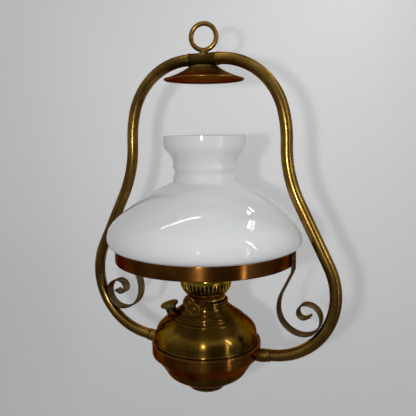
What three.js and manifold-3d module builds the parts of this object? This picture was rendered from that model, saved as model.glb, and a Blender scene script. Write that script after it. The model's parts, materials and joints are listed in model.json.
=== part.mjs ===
// A hanging library lamp: a brass oil lamp held in a harp of bent tube, with a glass shade on a ring.
// Lengths are millimetres. Z is the lamp's axis and is zero where the eye hangs on its hook.
// X runs across the harp, and the wick knobs at the front point along -Y.
import * as THREE from 'three';
import { mergeVertices } from 'three/addons/utils/BufferGeometryUtils.js';
import Module from 'manifold-3d';

const degrees = Math.PI / 180;
const quarterTurn = Math.PI / 2;

// Clearances, and how far a cutter runs past the face that it cuts.
const seatGap = 0.3;
const runningGap = 0.35;
const looseGap = 0.6;
const overrun = 3;
const weldDistance = 0.0005;

// How finely round work is divided.
const wideSegments = 28;
const shadeSegments = 28;
const bellSegments = 24;
const burnerSegments = 20;
const innerSegments = 12;
const smallSegments = 12;
const pinSegments = 8;
const coveSteps = 4;

// Hanging eye: a ring, a collar that straddles the sleeve, and a threaded shank with its nut.
const eyeInnerRadius = 14;
const eyeWireRadius = 3.2;
const eyeCollarRadius = 5.6;
const eyeCollarFootRadius = 7.2;
const shankRadius = 3.2;
const shankEndLength = 2;
const nutHeight = 6;
const nutRadius = 8;

// Top sleeve, which joins the two tubes over the smoke bell.
const sleeveRadius = 8.5;
const sleeveLength = 45;
const sleeveLipRadius = 9.1;
const sleeveLipWidth = 2;
const spigotLength = 6;
const spigotFit = 1.5;

// Harp tube, and the bends of each half from the sleeve down to the font.
const harpTubeRadius = 7.95;
const harpTubeWall = 1.25;
const crownBendRadius = 92;
const crownBendAngle = 75.3 * degrees;
const shoulderBendRadius = 160;
const waistLength = 5.6;
const flareBendRadius = 165;
const flareAngle = 26.7 * degrees;
const bowBendRadius = 91.9;
const footLength = 10;
const footDroop = 8.75 * degrees;
const upperBendStep = 12 * degrees;
const bowBendStep = 8.4 * degrees;
const tubeSides = 12;
const tubeBoreSides = 6;

// Ferrules, cast ends that carry the font cradle.
const ferruleLength = 18;
const ferruleRadius = 9.3;
const ferruleEndRadius = 8.6;
const ferruleBeadRadius = 9.1;
const ferruleBeadWidth = 2.4;
const ferruleNotchWidth = 1;
const ferruleNotchDepth = 1.2;
const ferruleAxisDrop = 10.5;

// Font cradle: an upright band over a cove that ends in a small lip.
const cradleRadius = 78.7;
const cradleWall = 1.5;
const cradleBandHeight = 16.6;
const cradleDepth = 35;
const cradleLipRadius = 63.6;
const cradleEdgeRound = 1.4;
const cradleCoveRadius = 69.2;
const cradleCoveShare = 0.47;

// Smoke bell.
const bellCrownRadius = 20.3;
const bellCrownRound = 1.6;
const bellDepth = 18;
const bellRadius = 54.6;
const bellWall = 1.2;
const bellBeadRadius = 1.3;
const bellCurveShares = { across: 0.37, down: 0.53 };

// Shade ring with its ledge, and the scroll brackets that carry it.
const ringRadius = 127;
const ringWall = 1.4;
const ringHeight = 18.9;
const ringLedgeWidth = 9.5;
const ringEdgeRound = 1.2;
const stripWidth = 16;
const stripThickness = 2.3;
const strapLength = 21;
const bracketDrop = 55.9;
const upperReverseRadius = 18;
const lowerReverseRadius = 50;
const scrollBottomRadius = 34;
const scrollLoopRadius = 24;
const scrollInnerRadii = [19, 12];
const scrollEyeRadius = 8;
const scrollEyeAngle = 120 * degrees;
const scrollTailLength = 6;
const scrollContactAngle = 31.6 * degrees;
const stripBendStep = 15 * degrees;
const rivetRadius = 1.6;
const rivetHeadRadius = 3.6;
const rivetHeadHeight = 1.7;
const rivetDrop = 8;

// Glass shade.
const shadeWall = 3;
const shadeLipGap = 1.3;
const shadeWidestRadius = 137.9;
const shadeNeckRadius = 44.2;
const shadeNeckHeight = 90;
const shadeRimRadius = 57.2;
const shadeHeight = 153;

// Font: a domed upper shell with half-round ridges, a lower bowl on a disc foot, and a filler collar.
const fontWall = 1.1;
const fontRadius = 73.2;
const fontFlangeRadius = 78.2;
const fontFlangeThickness = 0.9;
const fontBeadRadius = 1.1;
const fontHeight = 53.5;
const fontNeckRadius = 33;
const ridgeRadius = 0.9;
const bowlRimHeight = 6.5;
const bowlDepth = 66;
const bowlFloorRadius = 24;
const footRadius = 26.5;
const footThickness = 3.2;
const collarRadius = 31.6;
const collarBore = 25.5;
const collarHeight = 8.4;
const collarRound = 1.5;

// Filler, a tilted neck with a screw cap on the shoulder of the font.
const fillerReach = 49;
const fillerBearing = 67 * degrees;
const fillerTilt = 17 * degrees;
const fillerRise = 10.6;
const fillerSink = 5;
const fillerRadius = 7.5;
const fillerWall = 1.2;
const fillerLipRadius = 8.7;
const fillerLipHeight = 1.6;
const washerRadius = 10;
const washerThickness = 1.2;
const capRadius = 13;
const capThickness = 3.6;
const capRound = 0.8;
const capPlugLength = 7;
const capPlugWall = 1.2;

// Burner base: a skirt in the collar, two bright rings and a floor for the wick tubes.
const baseWall = 1;
const baseSkirtLength = 8;
const baseRingRadius = 27.8;
const baseRingHeight = 1.3;
const baseWaistDepth = 1.5;
const baseWaistHeight = 0.9;

// Slotted basket and the gallery above it.
const basketWall = 1;
const basketTopRadius = 33.6;
const basketBottomRadius = 26.3;
const basketHeight = 12.8;
const basketSlots = 40;
const basketSlotShare = 0.55;
const basketBandShares = { top: 0.13, bottom: 0.09 };
const galleryRadius = 34.3;
const galleryWall = 0.9;
const galleryBandHeight = 14;
const galleryHeight = 26;
const galleryLedgeRadius = 26;
const galleryProngs = 6;
const galleryProngWidth = 9;
const flameConeRadius = 28.4;
const flameConeHeight = 16;
const flameConeRim = 1.2;
const flameConeWall = 0.8;

// Wicks, their tubes, and the winders.
const wickThickness = 2.4;
const wickWidth = 25;
const wickSpacing = 6.2;
const wickFloorGap = 20.4;
const wickTopHeight = 31;
const wickTubeWall = 0.5;
const wickTubeTop = 28;
const wickTubeSink = 6;
const spindleRadius = 1.4;
const spindleSpacing = 14;
const spindleHeight = 6.4;
const spindleDroop = 7 * degrees;
const spindleInnerReach = 11;
const spurWheelRadius = 2.4;
const spurWheelRootShare = 0.78;
const spurWheelWidth = 3;
const spurWheelSpread = 12;
const spurTeeth = 6;
const knobReaches = [37.7, 52.7];
const knobRadius = 10.25;
const knobThickness = 3.5;
const knobRound = 1.1;
const knobDishRadius = 6.8;
const knobDishDepth = 0.6;
const knobBossRadius = 3.4;
const knobDimpleRadius = 1.7;
const knobDimpleDepth = 0.7;
const knobSocketDepth = 1.6;
const housingWidth = 27.6;
const housingFront = 33.6;
const housingHeight = 7.4;
const housingLip = 3.6;

// Chimney.
const chimneyWall = 1.6;
const chimneyBaseRadius = 31.5;
const chimneyBulbRadius = 36.5;
const chimneyTopRadius = 21;
const chimneyHeight = 204;

const wasm = await Module();
wasm.setup();

// Turns a geometry into a solid that can be cut and joined.
function solidOf(geometry) {
  const bare = geometry.clone();
  bare.deleteAttribute('normal');
  bare.deleteAttribute('uv');
  const merged = mergeVertices(bare, weldDistance);
  return new wasm.Manifold(new wasm.Mesh({
    numProp: 3,
    vertProperties: merged.attributes.position.array,
    triVerts: new Uint32Array(merged.index.array),
  }));
}

// Turns a solid back into a geometry.
function geometryOf(solid) {
  const { vertProperties, triVerts } = solid.getMesh();
  const geometry = new THREE.BufferGeometry();
  geometry.setAttribute('position', new THREE.BufferAttribute(vertProperties, 3));
  geometry.setIndex(new THREE.BufferAttribute(triVerts, 1));
  return geometry;
}

function join(...geometries) {
  const joined = geometries.map(solidOf).reduce((whole, next) => whole.add(next));
  return geometryOf(joined);
}

function cut(geometry, ...cutters) {
  const left = cutters.map(solidOf).reduce((whole, cutter) => whole.subtract(cutter), solidOf(geometry));
  return geometryOf(left);
}

// A solid turned about Z. Its profile starts and ends on the axis, or else closes on itself.
function revolve(pairs, segments) {
  const profile = pairs.map(([radius, height]) => new THREE.Vector2(radius, height));
  const meetsAxis = profile[0].x === 0 && profile.at(-1).x === 0;
  if (THREE.ShapeUtils.area(profile) < 0) profile.reverse();
  if (!meetsAxis) profile.push(profile[0].clone());
  return new THREE.LatheGeometry(profile, segments).rotateX(quarterTurn);
}

function cylinder(radius, bottom, top, segments) {
  return revolve([[0, bottom], [radius, bottom], [radius, top], [0, top]], segments);
}

// Points of an arc about a centre, with both ends.
function arc(radius, height, size, from, to, steps) {
  return Array.from({ length: steps + 1 }, (_, i) => {
    const angle = (from + (to - from) * (i / steps)) * degrees;
    return [radius + size * Math.cos(angle), height + size * Math.sin(angle)];
  });
}

function smoothLine(pairs) {
  return new THREE.SplineCurve(pairs.map(([radius, height]) => new THREE.Vector2(radius, height)));
}

function pairsOf(points) {
  return points.map(({ x, y }) => [x, y]);
}

// The outline moved to its left by a distance.
function offset(pairs, distance) {
  const points = pairs.map(([radius, height]) => new THREE.Vector2(radius, height));
  return points.map((point, i) => {
    const before = points[Math.max(i - 1, 0)];
    const after = points[Math.min(i + 1, points.length - 1)];
    const arriving = point.clone().sub(before).normalize();
    const leaving = after.clone().sub(point).normalize();
    const along = arriving.clone().add(leaving).normalize();
    const side = new THREE.Vector2(-along.y, along.x);
    const bend = Math.max(along.dot(leaving), along.dot(arriving));
    return [point.x + side.x * (distance / bend), point.y + side.y * (distance / bend)];
  });
}

// A wall of even thickness to the left of an outline, which runs upwards with its inside to the left.
// The hidden side can follow a plainer version of the same outline.
function wallOf(outline, wall, hidden = outline) {
  return [...outline, ...offset(hidden, wall).reverse()];
}

// A flat path in X and Z, made of straights and bends, that a section can be swept along.
// A turn is positive anticlockwise as the front sees it.
class BentPath extends THREE.Curve {
  constructor(x, z, heading, bendStep) {
    super();
    this.end = { x, z, heading };
    this.bendStep = bendStep;
    this.sections = [];
  }

  run(length) {
    return this.add(length, 0, 1);
  }

  bend(radius, turn) {
    return this.add(radius * Math.abs(turn), turn, Math.ceil(Math.abs(turn) / this.bendStep));
  }

  add(length, turn, count) {
    const leg = { ...this.end, length, turn, count };
    for (let index = 0; index < count; index += 1) this.sections.push({ leg, index });
    this.end = placeOnLeg(leg, 1);
    return this;
  }

  placeAt(t) {
    const reached = t * this.sections.length;
    const section = Math.min(Math.floor(reached), this.sections.length - 1);
    const { leg, index } = this.sections[section];
    return placeOnLeg(leg, (index + reached - section) / leg.count);
  }

  getPoint(t, target = new THREE.Vector3()) {
    const { x, z } = this.placeAt(t);
    return target.set(x, 0, z);
  }

  getTangent(t, target = new THREE.Vector3()) {
    const { heading } = this.placeAt(t);
    return target.set(Math.cos(heading), 0, Math.sin(heading));
  }

  getUtoTmapping(u) {
    return u;
  }
}

// Where a leg has come to after a share of its length.
function placeOnLeg({ x, z, heading, length, turn }, share) {
  if (turn === 0) {
    return {
      x: x + Math.cos(heading) * length * share,
      z: z + Math.sin(heading) * length * share,
      heading,
    };
  }
  const radius = length / turn;
  const turned = heading + turn * share;
  return {
    x: x + radius * (Math.sin(turned) - Math.sin(heading)),
    z: z - radius * (Math.cos(turned) - Math.cos(heading)),
    heading: turned,
  };
}

function sweep(shape, path) {
  return new THREE.ExtrudeGeometry(shape, { steps: path.sections.length, extrudePath: path });
}

function circle(radius, sides) {
  return Array.from({ length: sides }, (_, i) => {
    const angle = (i / sides) * 2 * Math.PI;
    return new THREE.Vector2(radius * Math.cos(angle), radius * Math.sin(angle));
  });
}

// Lays a solid that was turned about Z along a heading in the plane of the harp.
function layAlong(geometry, heading) {
  return geometry.rotateY(quarterTurn - heading);
}

// Heights of the top fittings, one under the other.
const eyeTop = 0;
const eyeCentre = eyeTop - eyeInnerRadius;
const eyeBottom = eyeCentre - eyeInnerRadius - 2 * eyeWireRadius;
const sleeveAxis = eyeBottom - seatGap - sleeveRadius;
const bellTop = sleeveAxis - sleeveRadius - seatGap;
const nutTop = bellTop - bellWall - seatGap;
const shankEnd = nutTop - nutHeight - shankEndLength;
const shankBore = shankRadius + seatGap;
const tubeBore = harpTubeRadius - harpTubeWall;
const spigotRadius = tubeBore - spigotFit;

// The harp's centreline, right half. The flare's straight is as long as the bow's width asks for.
const ferruleMouth = cradleRadius + seatGap + ferruleLength * Math.cos(footDroop);
const bowEnd = ferruleMouth + (seatGap + footLength) * Math.cos(footDroop);
const bowCentreX = bowEnd - bowBendRadius * Math.sin(footDroop);

function harpPath() {
  const path = new BentPath(sleeveLength / 2 + seatGap, sleeveAxis, 0, upperBendStep);
  path.bend(crownBendRadius, -crownBendAngle);
  path.bend(shoulderBendRadius, crownBendAngle - quarterTurn);
  path.run(waistLength);
  path.bend(flareBendRadius, flareAngle);
  const bowStart = bowCentreX + bowBendRadius * Math.cos(flareAngle);
  path.run((bowStart - path.end.x) / Math.sin(flareAngle));
  path.bowCentre = { x: bowCentreX, z: path.end.z - bowBendRadius * Math.sin(flareAngle) };
  path.bendStep = bowBendStep;
  path.bend(bowBendRadius, footDroop - quarterTurn - flareAngle);
  path.run(footLength);
  return path;
}

const harp = harpPath();
const ferruleHeading = harp.end.heading;
const ferruleStart = {
  x: harp.end.x + seatGap * Math.cos(ferruleHeading),
  z: harp.end.z + seatGap * Math.sin(ferruleHeading),
};
const cradleTop = ferruleStart.z + ferruleLength * Math.sin(ferruleHeading) + ferruleAxisDrop;

// The big loop of each scroll touches the inside of the bow, and that sets the height of the shade ring.
const loopOffset = bowBendRadius - harpTubeRadius - seatGap - scrollLoopRadius - stripThickness / 2;
const loopCentre = {
  x: harp.bowCentre.x + loopOffset * Math.cos(scrollContactAngle),
  z: harp.bowCentre.z - loopOffset * Math.sin(scrollContactAngle),
};
const ringTop = loopCentre.z - scrollLoopRadius + scrollBottomRadius + bracketDrop + strapLength;
const strapX = ringRadius + seatGap + stripThickness / 2;
const bracketInset = strapX - (loopCentre.x - scrollBottomRadius);
const fontRest = cradleTop + seatGap;
const collarRest = fontHeight + seatGap;
const burnerRest = collarRest + collarHeight + seatGap;

function hangingEye() {
  const ringCentre = eyeInnerRadius + eyeWireRadius;
  const ring = new THREE.TorusGeometry(ringCentre, eyeWireRadius, pinSegments, burnerSegments)
    .rotateX(quarterTurn)
    .translate(0, 0, eyeCentre);
  const collar = revolve([
    [0, eyeBottom + eyeWireRadius],
    [eyeCollarRadius, eyeBottom + eyeWireRadius / 2],
    [eyeCollarFootRadius, eyeBottom - seatGap],
    [eyeCollarFootRadius, sleeveAxis],
    [0, sleeveAxis],
  ], smallSegments);
  const sleeveRound = sleeveRadius + seatGap;
  const saddle = cylinder(sleeveRound, -sleeveLength, sleeveLength, smallSegments);
  layAlong(saddle, 0).translate(0, 0, sleeveAxis);
  const shank = cylinder(shankRadius, shankEnd, eyeBottom + eyeWireRadius, pinSegments);
  return join(ring, cut(collar, saddle), shank);
}

function topSleeve() {
  const half = sleeveLength / 2;
  const lipStart = half - sleeveLipWidth;
  const bar = revolve([
    [0, -half - spigotLength],
    [spigotRadius, -half - spigotLength],
    [spigotRadius, -half],
    [sleeveLipRadius, -half],
    [sleeveLipRadius, -lipStart],
    [sleeveRadius, -lipStart],
    [sleeveRadius, lipStart],
    [sleeveLipRadius, lipStart],
    [sleeveLipRadius, half],
    [spigotRadius, half],
    [spigotRadius, half + spigotLength],
    [0, half + spigotLength],
  ], smallSegments);
  layAlong(bar, 0);
  const bore = cylinder(shankBore, -sleeveRadius - overrun, sleeveRadius + overrun, pinSegments);
  return cut(bar, bore);
}

function harpTube() {
  const section = new THREE.Shape(circle(harpTubeRadius, tubeSides));
  section.holes.push(new THREE.Path(circle(tubeBore, tubeBoreSides)));
  return sweep(section, harp);
}

function ferrule() {
  const notch = ferruleBeadWidth + ferruleNotchWidth;
  const barrelEnd = ferruleLength + cradleWall + overrun;
  const body = revolve([
    [0, -spigotLength],
    [spigotRadius, -spigotLength],
    [spigotRadius, 0],
    [harpTubeRadius, 0],
    ...arc(ferruleBeadRadius - ferruleBeadWidth / 2, ferruleBeadWidth / 2, ferruleBeadWidth / 2, -60, 60, 2),
    [ferruleEndRadius - ferruleNotchDepth, ferruleBeadWidth],
    [ferruleEndRadius - ferruleNotchDepth, notch],
    ...pairsOf(smoothLine([
      [ferruleEndRadius, notch],
      [ferruleRadius, (notch + barrelEnd) / 2],
      [ferruleEndRadius, barrelEnd],
    ]).getPoints(3)),
    [0, barrelEnd],
  ], smallSegments);
  layAlong(body, ferruleHeading).translate(ferruleStart.x, 0, ferruleStart.z);
  const reach = cradleDepth + overrun;
  const band = cylinder(cradleRadius + seatGap, cradleTop - reach, cradleTop + reach, wideSegments);
  return cut(body, band);
}

// The cove under the cradle's band, from its lip upwards.
function covePairs(steps) {
  const cove = new THREE.QuadraticBezierCurve(
    new THREE.Vector2(cradleLipRadius, cradleEdgeRound - cradleDepth),
    new THREE.Vector2(cradleCoveRadius, -cradleBandHeight - (cradleDepth - cradleBandHeight) * cradleCoveShare),
    new THREE.Vector2(cradleRadius - cradleEdgeRound, -cradleBandHeight),
  );
  return pairsOf(cove.getPoints(steps));
}

function fontCradle() {
  const outline = [
    [cradleLipRadius, -cradleDepth],
    ...covePairs(coveSteps),
    [cradleRadius, -cradleBandHeight + cradleEdgeRound],
    [cradleRadius, 0],
  ];
  return revolve(wallOf(outline, cradleWall), wideSegments);
}

function smokeBell() {
  const beadCentre = bellRadius - bellBeadRadius;
  const neckEnd = -bellCrownRound;
  const flare = new THREE.QuadraticBezierCurve(
    new THREE.Vector2(beadCentre, -bellDepth + bellBeadRadius),
    new THREE.Vector2(
      bellCrownRadius + (beadCentre - bellCrownRadius) * bellCurveShares.across,
      neckEnd - (bellDepth - bellCrownRound) * bellCurveShares.down,
    ),
    new THREE.Vector2(bellCrownRadius, neckEnd),
  );
  const outlineIn = (steps) => [
    ...pairsOf(flare.getPoints(steps)),
    [bellCrownRadius - bellCrownRound, 0],
    [shankBore, 0],
  ];
  const bead = arc(beadCentre, -bellDepth, bellBeadRadius, 200, 450, 4);
  return revolve([...wallOf(outlineIn(5), bellWall, outlineIn(3)), ...bead.slice(0, -1)], bellSegments);
}

function bellNut() {
  const blank = new THREE.Shape(circle(nutRadius, 6));
  blank.holes.push(new THREE.Path(circle(shankBore, pinSegments)));
  return new THREE.ExtrudeGeometry(blank, { depth: nutHeight, bevelEnabled: false });
}

// Two opposite bends that carry a path sideways by an inset on its way down. They tighten if room is short.
function addReverse(path, drop, inset, firstRadius, secondRadius) {
  const across = Math.abs(inset);
  const wanted = firstRadius + secondRadius;
  const radii = Math.min(wanted, (drop ** 2 + across ** 2) / (2 * across));
  const straight = Math.sqrt(Math.max(drop ** 2 + across ** 2 - 2 * radii * across, 0));
  const rise = radii * drop + straight * (across - radii);
  const turn = Math.atan2(rise, straight * drop - radii * (across - radii)) * Math.sign(inset);
  path.bend(firstRadius * (radii / wanted), -turn);
  path.run(straight);
  path.bend(secondRadius * (radii / wanted), turn);
}

function rivetHole(fromX, toX) {
  const hole = cylinder(rivetRadius + seatGap, fromX, toX, pinSegments);
  return layAlong(hole, 0).translate(0, 0, -rivetDrop);
}

function scrollBracket() {
  const path = new BentPath(strapX, 0, -quarterTurn, stripBendStep);
  path.run(strapLength);
  addReverse(path, bracketDrop, bracketInset, upperReverseRadius, lowerReverseRadius);
  for (const radius of [scrollBottomRadius, scrollLoopRadius, ...scrollInnerRadii]) {
    path.bend(radius, quarterTurn);
  }
  path.bend(scrollEyeRadius, scrollEyeAngle);
  path.run(scrollTailLength);
  const section = new THREE.Shape([
    new THREE.Vector2(-stripWidth / 2, -stripThickness / 2),
    new THREE.Vector2(stripWidth / 2, -stripThickness / 2),
    new THREE.Vector2(stripWidth / 2, stripThickness / 2),
    new THREE.Vector2(-stripWidth / 2, stripThickness / 2),
  ]);
  return cut(sweep(section, path), rivetHole(strapX - overrun, strapX + overrun));
}

function bracketRivet() {
  const headStart = strapX + stripThickness / 2 + seatGap;
  const body = revolve([
    [0, ringRadius - ringWall],
    [rivetRadius, ringRadius - ringWall],
    [rivetRadius, headStart],
    [rivetHeadRadius, headStart],
    [rivetHeadRadius * Math.SQRT1_2, headStart + rivetHeadHeight * Math.SQRT1_2],
    [0, headStart + rivetHeadHeight],
  ], pinSegments);
  return layAlong(body, 0);
}

function shadeRing() {
  const ledgeRadius = ringRadius - ringLedgeWidth;
  const band = revolve([
    [ledgeRadius, -ringHeight],
    [ringRadius - ringEdgeRound, -ringHeight],
    [ringRadius, -ringHeight + ringEdgeRound],
    [ringRadius, 0],
    [ringRadius - ringWall, 0],
    [ringRadius - ringWall, -ringHeight + ringWall],
    [ledgeRadius, -ringHeight + ringWall],
  ], shadeSegments);
  const farSide = ringRadius + overrun;
  const nearSide = ringRadius - ringWall - overrun;
  return cut(band, rivetHole(nearSide, farSide), rivetHole(-farSide, -nearSide));
}

function glassShade() {
  const lipRadius = ringRadius - ringWall - shadeLipGap;
  const swell = shadeWidestRadius - lipRadius;
  const swellShares = [[0, 0.006], [0.52, 0.016], [0.9, 0.085]];
  const wide = shadeWidestRadius - shadeNeckRadius;
  const domeShares = [
    [1, 0.178], [0.964, 0.311], [0.856, 0.444], [0.692, 0.578], [0.509, 0.711], [0.302, 0.844],
    [0.132, 0.933], [0.024, 0.981],
  ];
  const body = [
    ...swellShares.map(([across, up]) => [lipRadius + swell * across, shadeNeckHeight * up]),
    ...domeShares.map(([across, up]) => [shadeNeckRadius + wide * across, shadeNeckHeight * up]),
  ];
  const neck = shadeHeight - shadeNeckHeight;
  const flare = shadeRimRadius - shadeNeckRadius;
  const neckShares = [
    [0, 0], [0, 0.1], [-0.17, 0.2], [0, 0.31], [-0.04, 0.43], [0.22, 0.54], [0.66, 0.73], [0.88, 0.82], [1, 1],
  ];
  const neckLine = neckShares.map(([across, up]) => [
    shadeNeckRadius + flare * across,
    shadeNeckHeight + neck * up,
  ]);
  const lipBottom = ringWall + seatGap - ringHeight;
  const outlineIn = (bodySteps, neckSteps) => [
    [lipRadius, lipBottom],
    ...pairsOf(smoothLine(body).getPoints(bodySteps)),
    ...pairsOf(smoothLine(neckLine).getPoints(neckSteps)),
  ];
  return revolve(wallOf(outlineIn(9, 8), shadeWall, outlineIn(6, 4)), shadeSegments);
}

// The shoulder of the font as a smooth line from its straight side up to its neck.
function shoulderLine() {
  const wide = fontRadius - fontNeckRadius;
  const shoulderShares = [
    [1, 0.13], [0.988, 0.271], [0.935, 0.383], [0.816, 0.49], [0.622, 0.607],
    [0.413, 0.72], [0.206, 0.832], [0.037, 0.953], [0, 1],
  ];
  return smoothLine(shoulderShares.map(([across, up]) => [fontNeckRadius + wide * across, fontHeight * up]));
}

// The same line with half-round ridges standing on it.
function ridgedShoulder(line) {
  const ridgeShares = [0.57, 0.675, 0.74, 0.87];
  const plainSteps = 7;
  const ridgeRoom = (ridgeRadius + seatGap) / line.getLength();
  const plain = Array.from({ length: plainSteps + 1 }, (_, i) => ({ share: i / plainSteps, ridge: false }))
    .filter(({ share }) => ridgeShares.every((ridge) => Math.abs(ridge - share) > ridgeRoom));
  const ridges = ridgeShares.map((share) => ({ share, ridge: true }));
  return [...plain, ...ridges].sort((a, b) => a.share - b.share).flatMap(({ share, ridge }) => {
    const { x, y } = line.getPointAt(share);
    if (!ridge) return [[x, y]];
    const along = line.getTangentAt(share);
    const facing = Math.atan2(along.y, along.x) / degrees;
    return arc(x, y, ridgeRadius, facing - 180, facing, 2);
  });
}

// Where the filler leaves the shoulder: its radius is given, its height is read off the shoulder's line.
function shoulderHeightAt(radius) {
  const points = shoulderLine().getPoints(wideSegments);
  const upper = points.findIndex((point) => point.x <= radius);
  const [below, above] = [points[upper - 1], points[upper]];
  return below.y + (above.y - below.y) * ((radius - below.x) / (above.x - below.x));
}

// Stands a piece that was turned about Z on the filler's tilted axis.
function placeOnFiller(object) {
  object.rotation.set(fillerTilt, 0, -fillerBearing, 'ZYX');
  object.position.set(
    -fillerReach * Math.sin(fillerBearing),
    -fillerReach * Math.cos(fillerBearing),
    shoulderHeightAt(fillerReach),
  );
  return object;
}

function fontUpperShell() {
  const line = shoulderLine();
  const sideInner = fontRadius - fontWall;
  const outside = [
    [sideInner, 0],
    [fontFlangeRadius, 0],
    [fontFlangeRadius, fontFlangeThickness],
    [fontRadius, fontFlangeThickness],
    ...arc(fontRadius, fontFlangeThickness + fontBeadRadius, fontBeadRadius, -60, 60, 2),
    ...ridgedShoulder(line),
    [collarBore, fontHeight],
  ];
  const inside = offset([...pairsOf(line.getPoints(5)), [collarBore, fontHeight]], fontWall).reverse();
  const shell = revolve([...outside, ...inside], wideSegments);
  const drill = new THREE.Mesh(cylinder(fillerRadius + seatGap, -fontHeight / 2, fillerRise, smallSegments));
  placeOnFiller(drill).updateMatrix();
  return cut(shell, drill.geometry.applyMatrix4(drill.matrix));
}

function fontLowerBowl() {
  const rimRadius = fontRadius - fontWall - seatGap;
  const coneEnd = cradleLipRadius - cradleWall - looseGap;
  const below = bowlDepth - cradleDepth;
  const cradleLine = [[cradleLipRadius, -cradleDepth], ...covePairs(coveSteps)];
  const inCradle = offset(cradleLine, cradleWall + looseGap).slice(1)
    .filter(([radius]) => radius < rimRadius);
  const wide = coneEnd - bowlFloorRadius;
  const bellyShares = [[0.13, 0.1], [0.61, 0.42], [0.89, 0.68], [1, 1]];
  const belly = smoothLine(bellyShares.map(([across, up]) => [
    bowlFloorRadius + wide * across,
    below * up - bowlDepth,
  ]));
  const outlineIn = (steps) => [
    [0, -bowlDepth],
    [bowlFloorRadius, -bowlDepth],
    ...pairsOf(belly.getPoints(steps)),
    ...inCradle,
    [rimRadius, -cradleBandHeight],
    [rimRadius, bowlRimHeight],
  ];
  return revolve(wallOf(outlineIn(4), fontWall, outlineIn(2)), wideSegments);
}

function fontFoot() {
  const edge = footThickness / 3;
  return revolve([
    [0, 0],
    [footRadius - edge, 0],
    [footRadius, edge],
    [footRadius, footThickness],
    [0, footThickness],
  ], burnerSegments);
}

function fontCollar() {
  return revolve([
    [collarBore, 0],
    [collarRadius, 0],
    ...arc(collarRadius - collarRound, collarHeight - collarRound, collarRound, 0, 90, 3),
    [collarBore, collarHeight],
  ], burnerSegments);
}

function fillerNeck() {
  const bore = fillerRadius - fillerWall;
  return revolve([
    [bore, -fillerSink],
    [fillerRadius, -fillerSink],
    [fillerRadius, fillerRise - fillerLipHeight],
    [fillerLipRadius, fillerRise - fillerLipHeight],
    [fillerLipRadius, fillerRise],
    [bore, fillerRise],
  ], smallSegments);
}

function fillerWasher() {
  const bore = fillerRadius - fillerWall + seatGap;
  return revolve([
    [bore, 0],
    [washerRadius, 0],
    [washerRadius, washerThickness],
    [bore, washerThickness],
  ], smallSegments);
}

// The cap's head with the hollow plug that goes down the neck.
function fillerCap() {
  const plugRadius = fillerRadius - fillerWall - looseGap;
  return revolve([
    [0, 0],
    [plugRadius - capPlugWall, 0],
    [plugRadius - capPlugWall, -capPlugLength],
    [plugRadius, -capPlugLength],
    [plugRadius, 0],
    [capRadius, 0],
    [capRadius, capThickness - capRound],
    [capRadius - capRound, capThickness],
    [0, capThickness],
  ], smallSegments);
}

const baseSkirtRadius = collarBore - looseGap;
const baseHeight = 2 * baseRingHeight + baseWaistHeight;
const basketRest = baseHeight + seatGap;
const galleryRest = basketRest + basketHeight + seatGap;
const ledgeTop = galleryRest + galleryWall;
const wickOffset = wickSpacing / 2;
const wickLength = wickTopHeight + burnerRest + bowlDepth - fontWall - wickFloorGap;
const wickChannel = wickThickness + 2 * seatGap;
const wickChannelWidth = wickWidth + 2 * seatGap;
const wickTubeThickness = wickChannel + 2 * wickTubeWall;
const wickTubeWidth = wickChannelWidth + 2 * wickTubeWall;

function block(width, depth, height, x, y, z) {
  return new THREE.BoxGeometry(width, depth, height).translate(x, y, z);
}

// A round bar on the axis of a wick winder, in the burner's frame. Reaches are counted forwards.
function onSpindle(geometry, side, reach) {
  geometry.rotateX(quarterTurn + spindleDroop);
  const drop = reach * Math.tan(spindleDroop);
  return geometry.translate((side * spindleSpacing) / 2, -reach, spindleHeight - drop);
}

function spindleBore(side) {
  return onSpindle(cylinder(spindleRadius + runningGap, 0, 2 * housingFront, pinSegments), side, 0);
}

function burnerBase() {
  const ringEdge = baseRingHeight / 2;
  const waist = baseRingRadius - baseWaistDepth;
  const inner = basketBottomRadius - basketWall;
  const ringAt = (bottom) => [
    [baseRingRadius - ringEdge, bottom],
    [baseRingRadius, bottom + ringEdge],
    [baseRingRadius - ringEdge, bottom + baseRingHeight],
  ];
  const body = revolve([
    [0, 0],
    [baseSkirtRadius - baseWall, 0],
    [baseSkirtRadius - baseWall, -baseSkirtLength],
    [baseSkirtRadius, -baseSkirtLength],
    [baseSkirtRadius, 0],
    ...ringAt(0),
    [waist, baseRingHeight],
    [waist, baseRingHeight + baseWaistHeight],
    ...ringAt(baseRingHeight + baseWaistHeight),
    [inner, baseHeight],
    [inner, baseWall],
    [0, baseWall],
  ], burnerSegments);
  const slots = [-1, 1].map((side) => block(
    wickTubeThickness + 2 * seatGap,
    wickTubeWidth + 2 * seatGap,
    2 * overrun,
    side * wickOffset,
    0,
    0,
  ));
  return cut(body, ...slots, spindleBore(-1), spindleBore(1));
}

function burnerBasket() {
  const cone = revolve([
    [basketBottomRadius, 0],
    [basketTopRadius, basketHeight],
    [basketTopRadius - basketWall, basketHeight],
    [basketBottomRadius - basketWall, 0],
  ], basketSlots);
  const slotBottom = basketHeight * basketBandShares.bottom;
  const slotTop = basketHeight * (1 - basketBandShares.top);
  const slotWidth = ((2 * Math.PI * basketBottomRadius) / basketSlots) * basketSlotShare;
  const slots = Array.from({ length: basketSlots }, (_, i) => block(
    slotWidth,
    basketTopRadius,
    slotTop - slotBottom,
    0,
    -basketTopRadius,
    (slotTop + slotBottom) / 2,
  ).rotateZ(((i + 0.5) / basketSlots) * 2 * Math.PI));
  const bores = [-1, 1].map((side) => spindleBore(side).translate(0, 0, -basketRest));
  return cut(cone, ...slots, ...bores);
}

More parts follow.
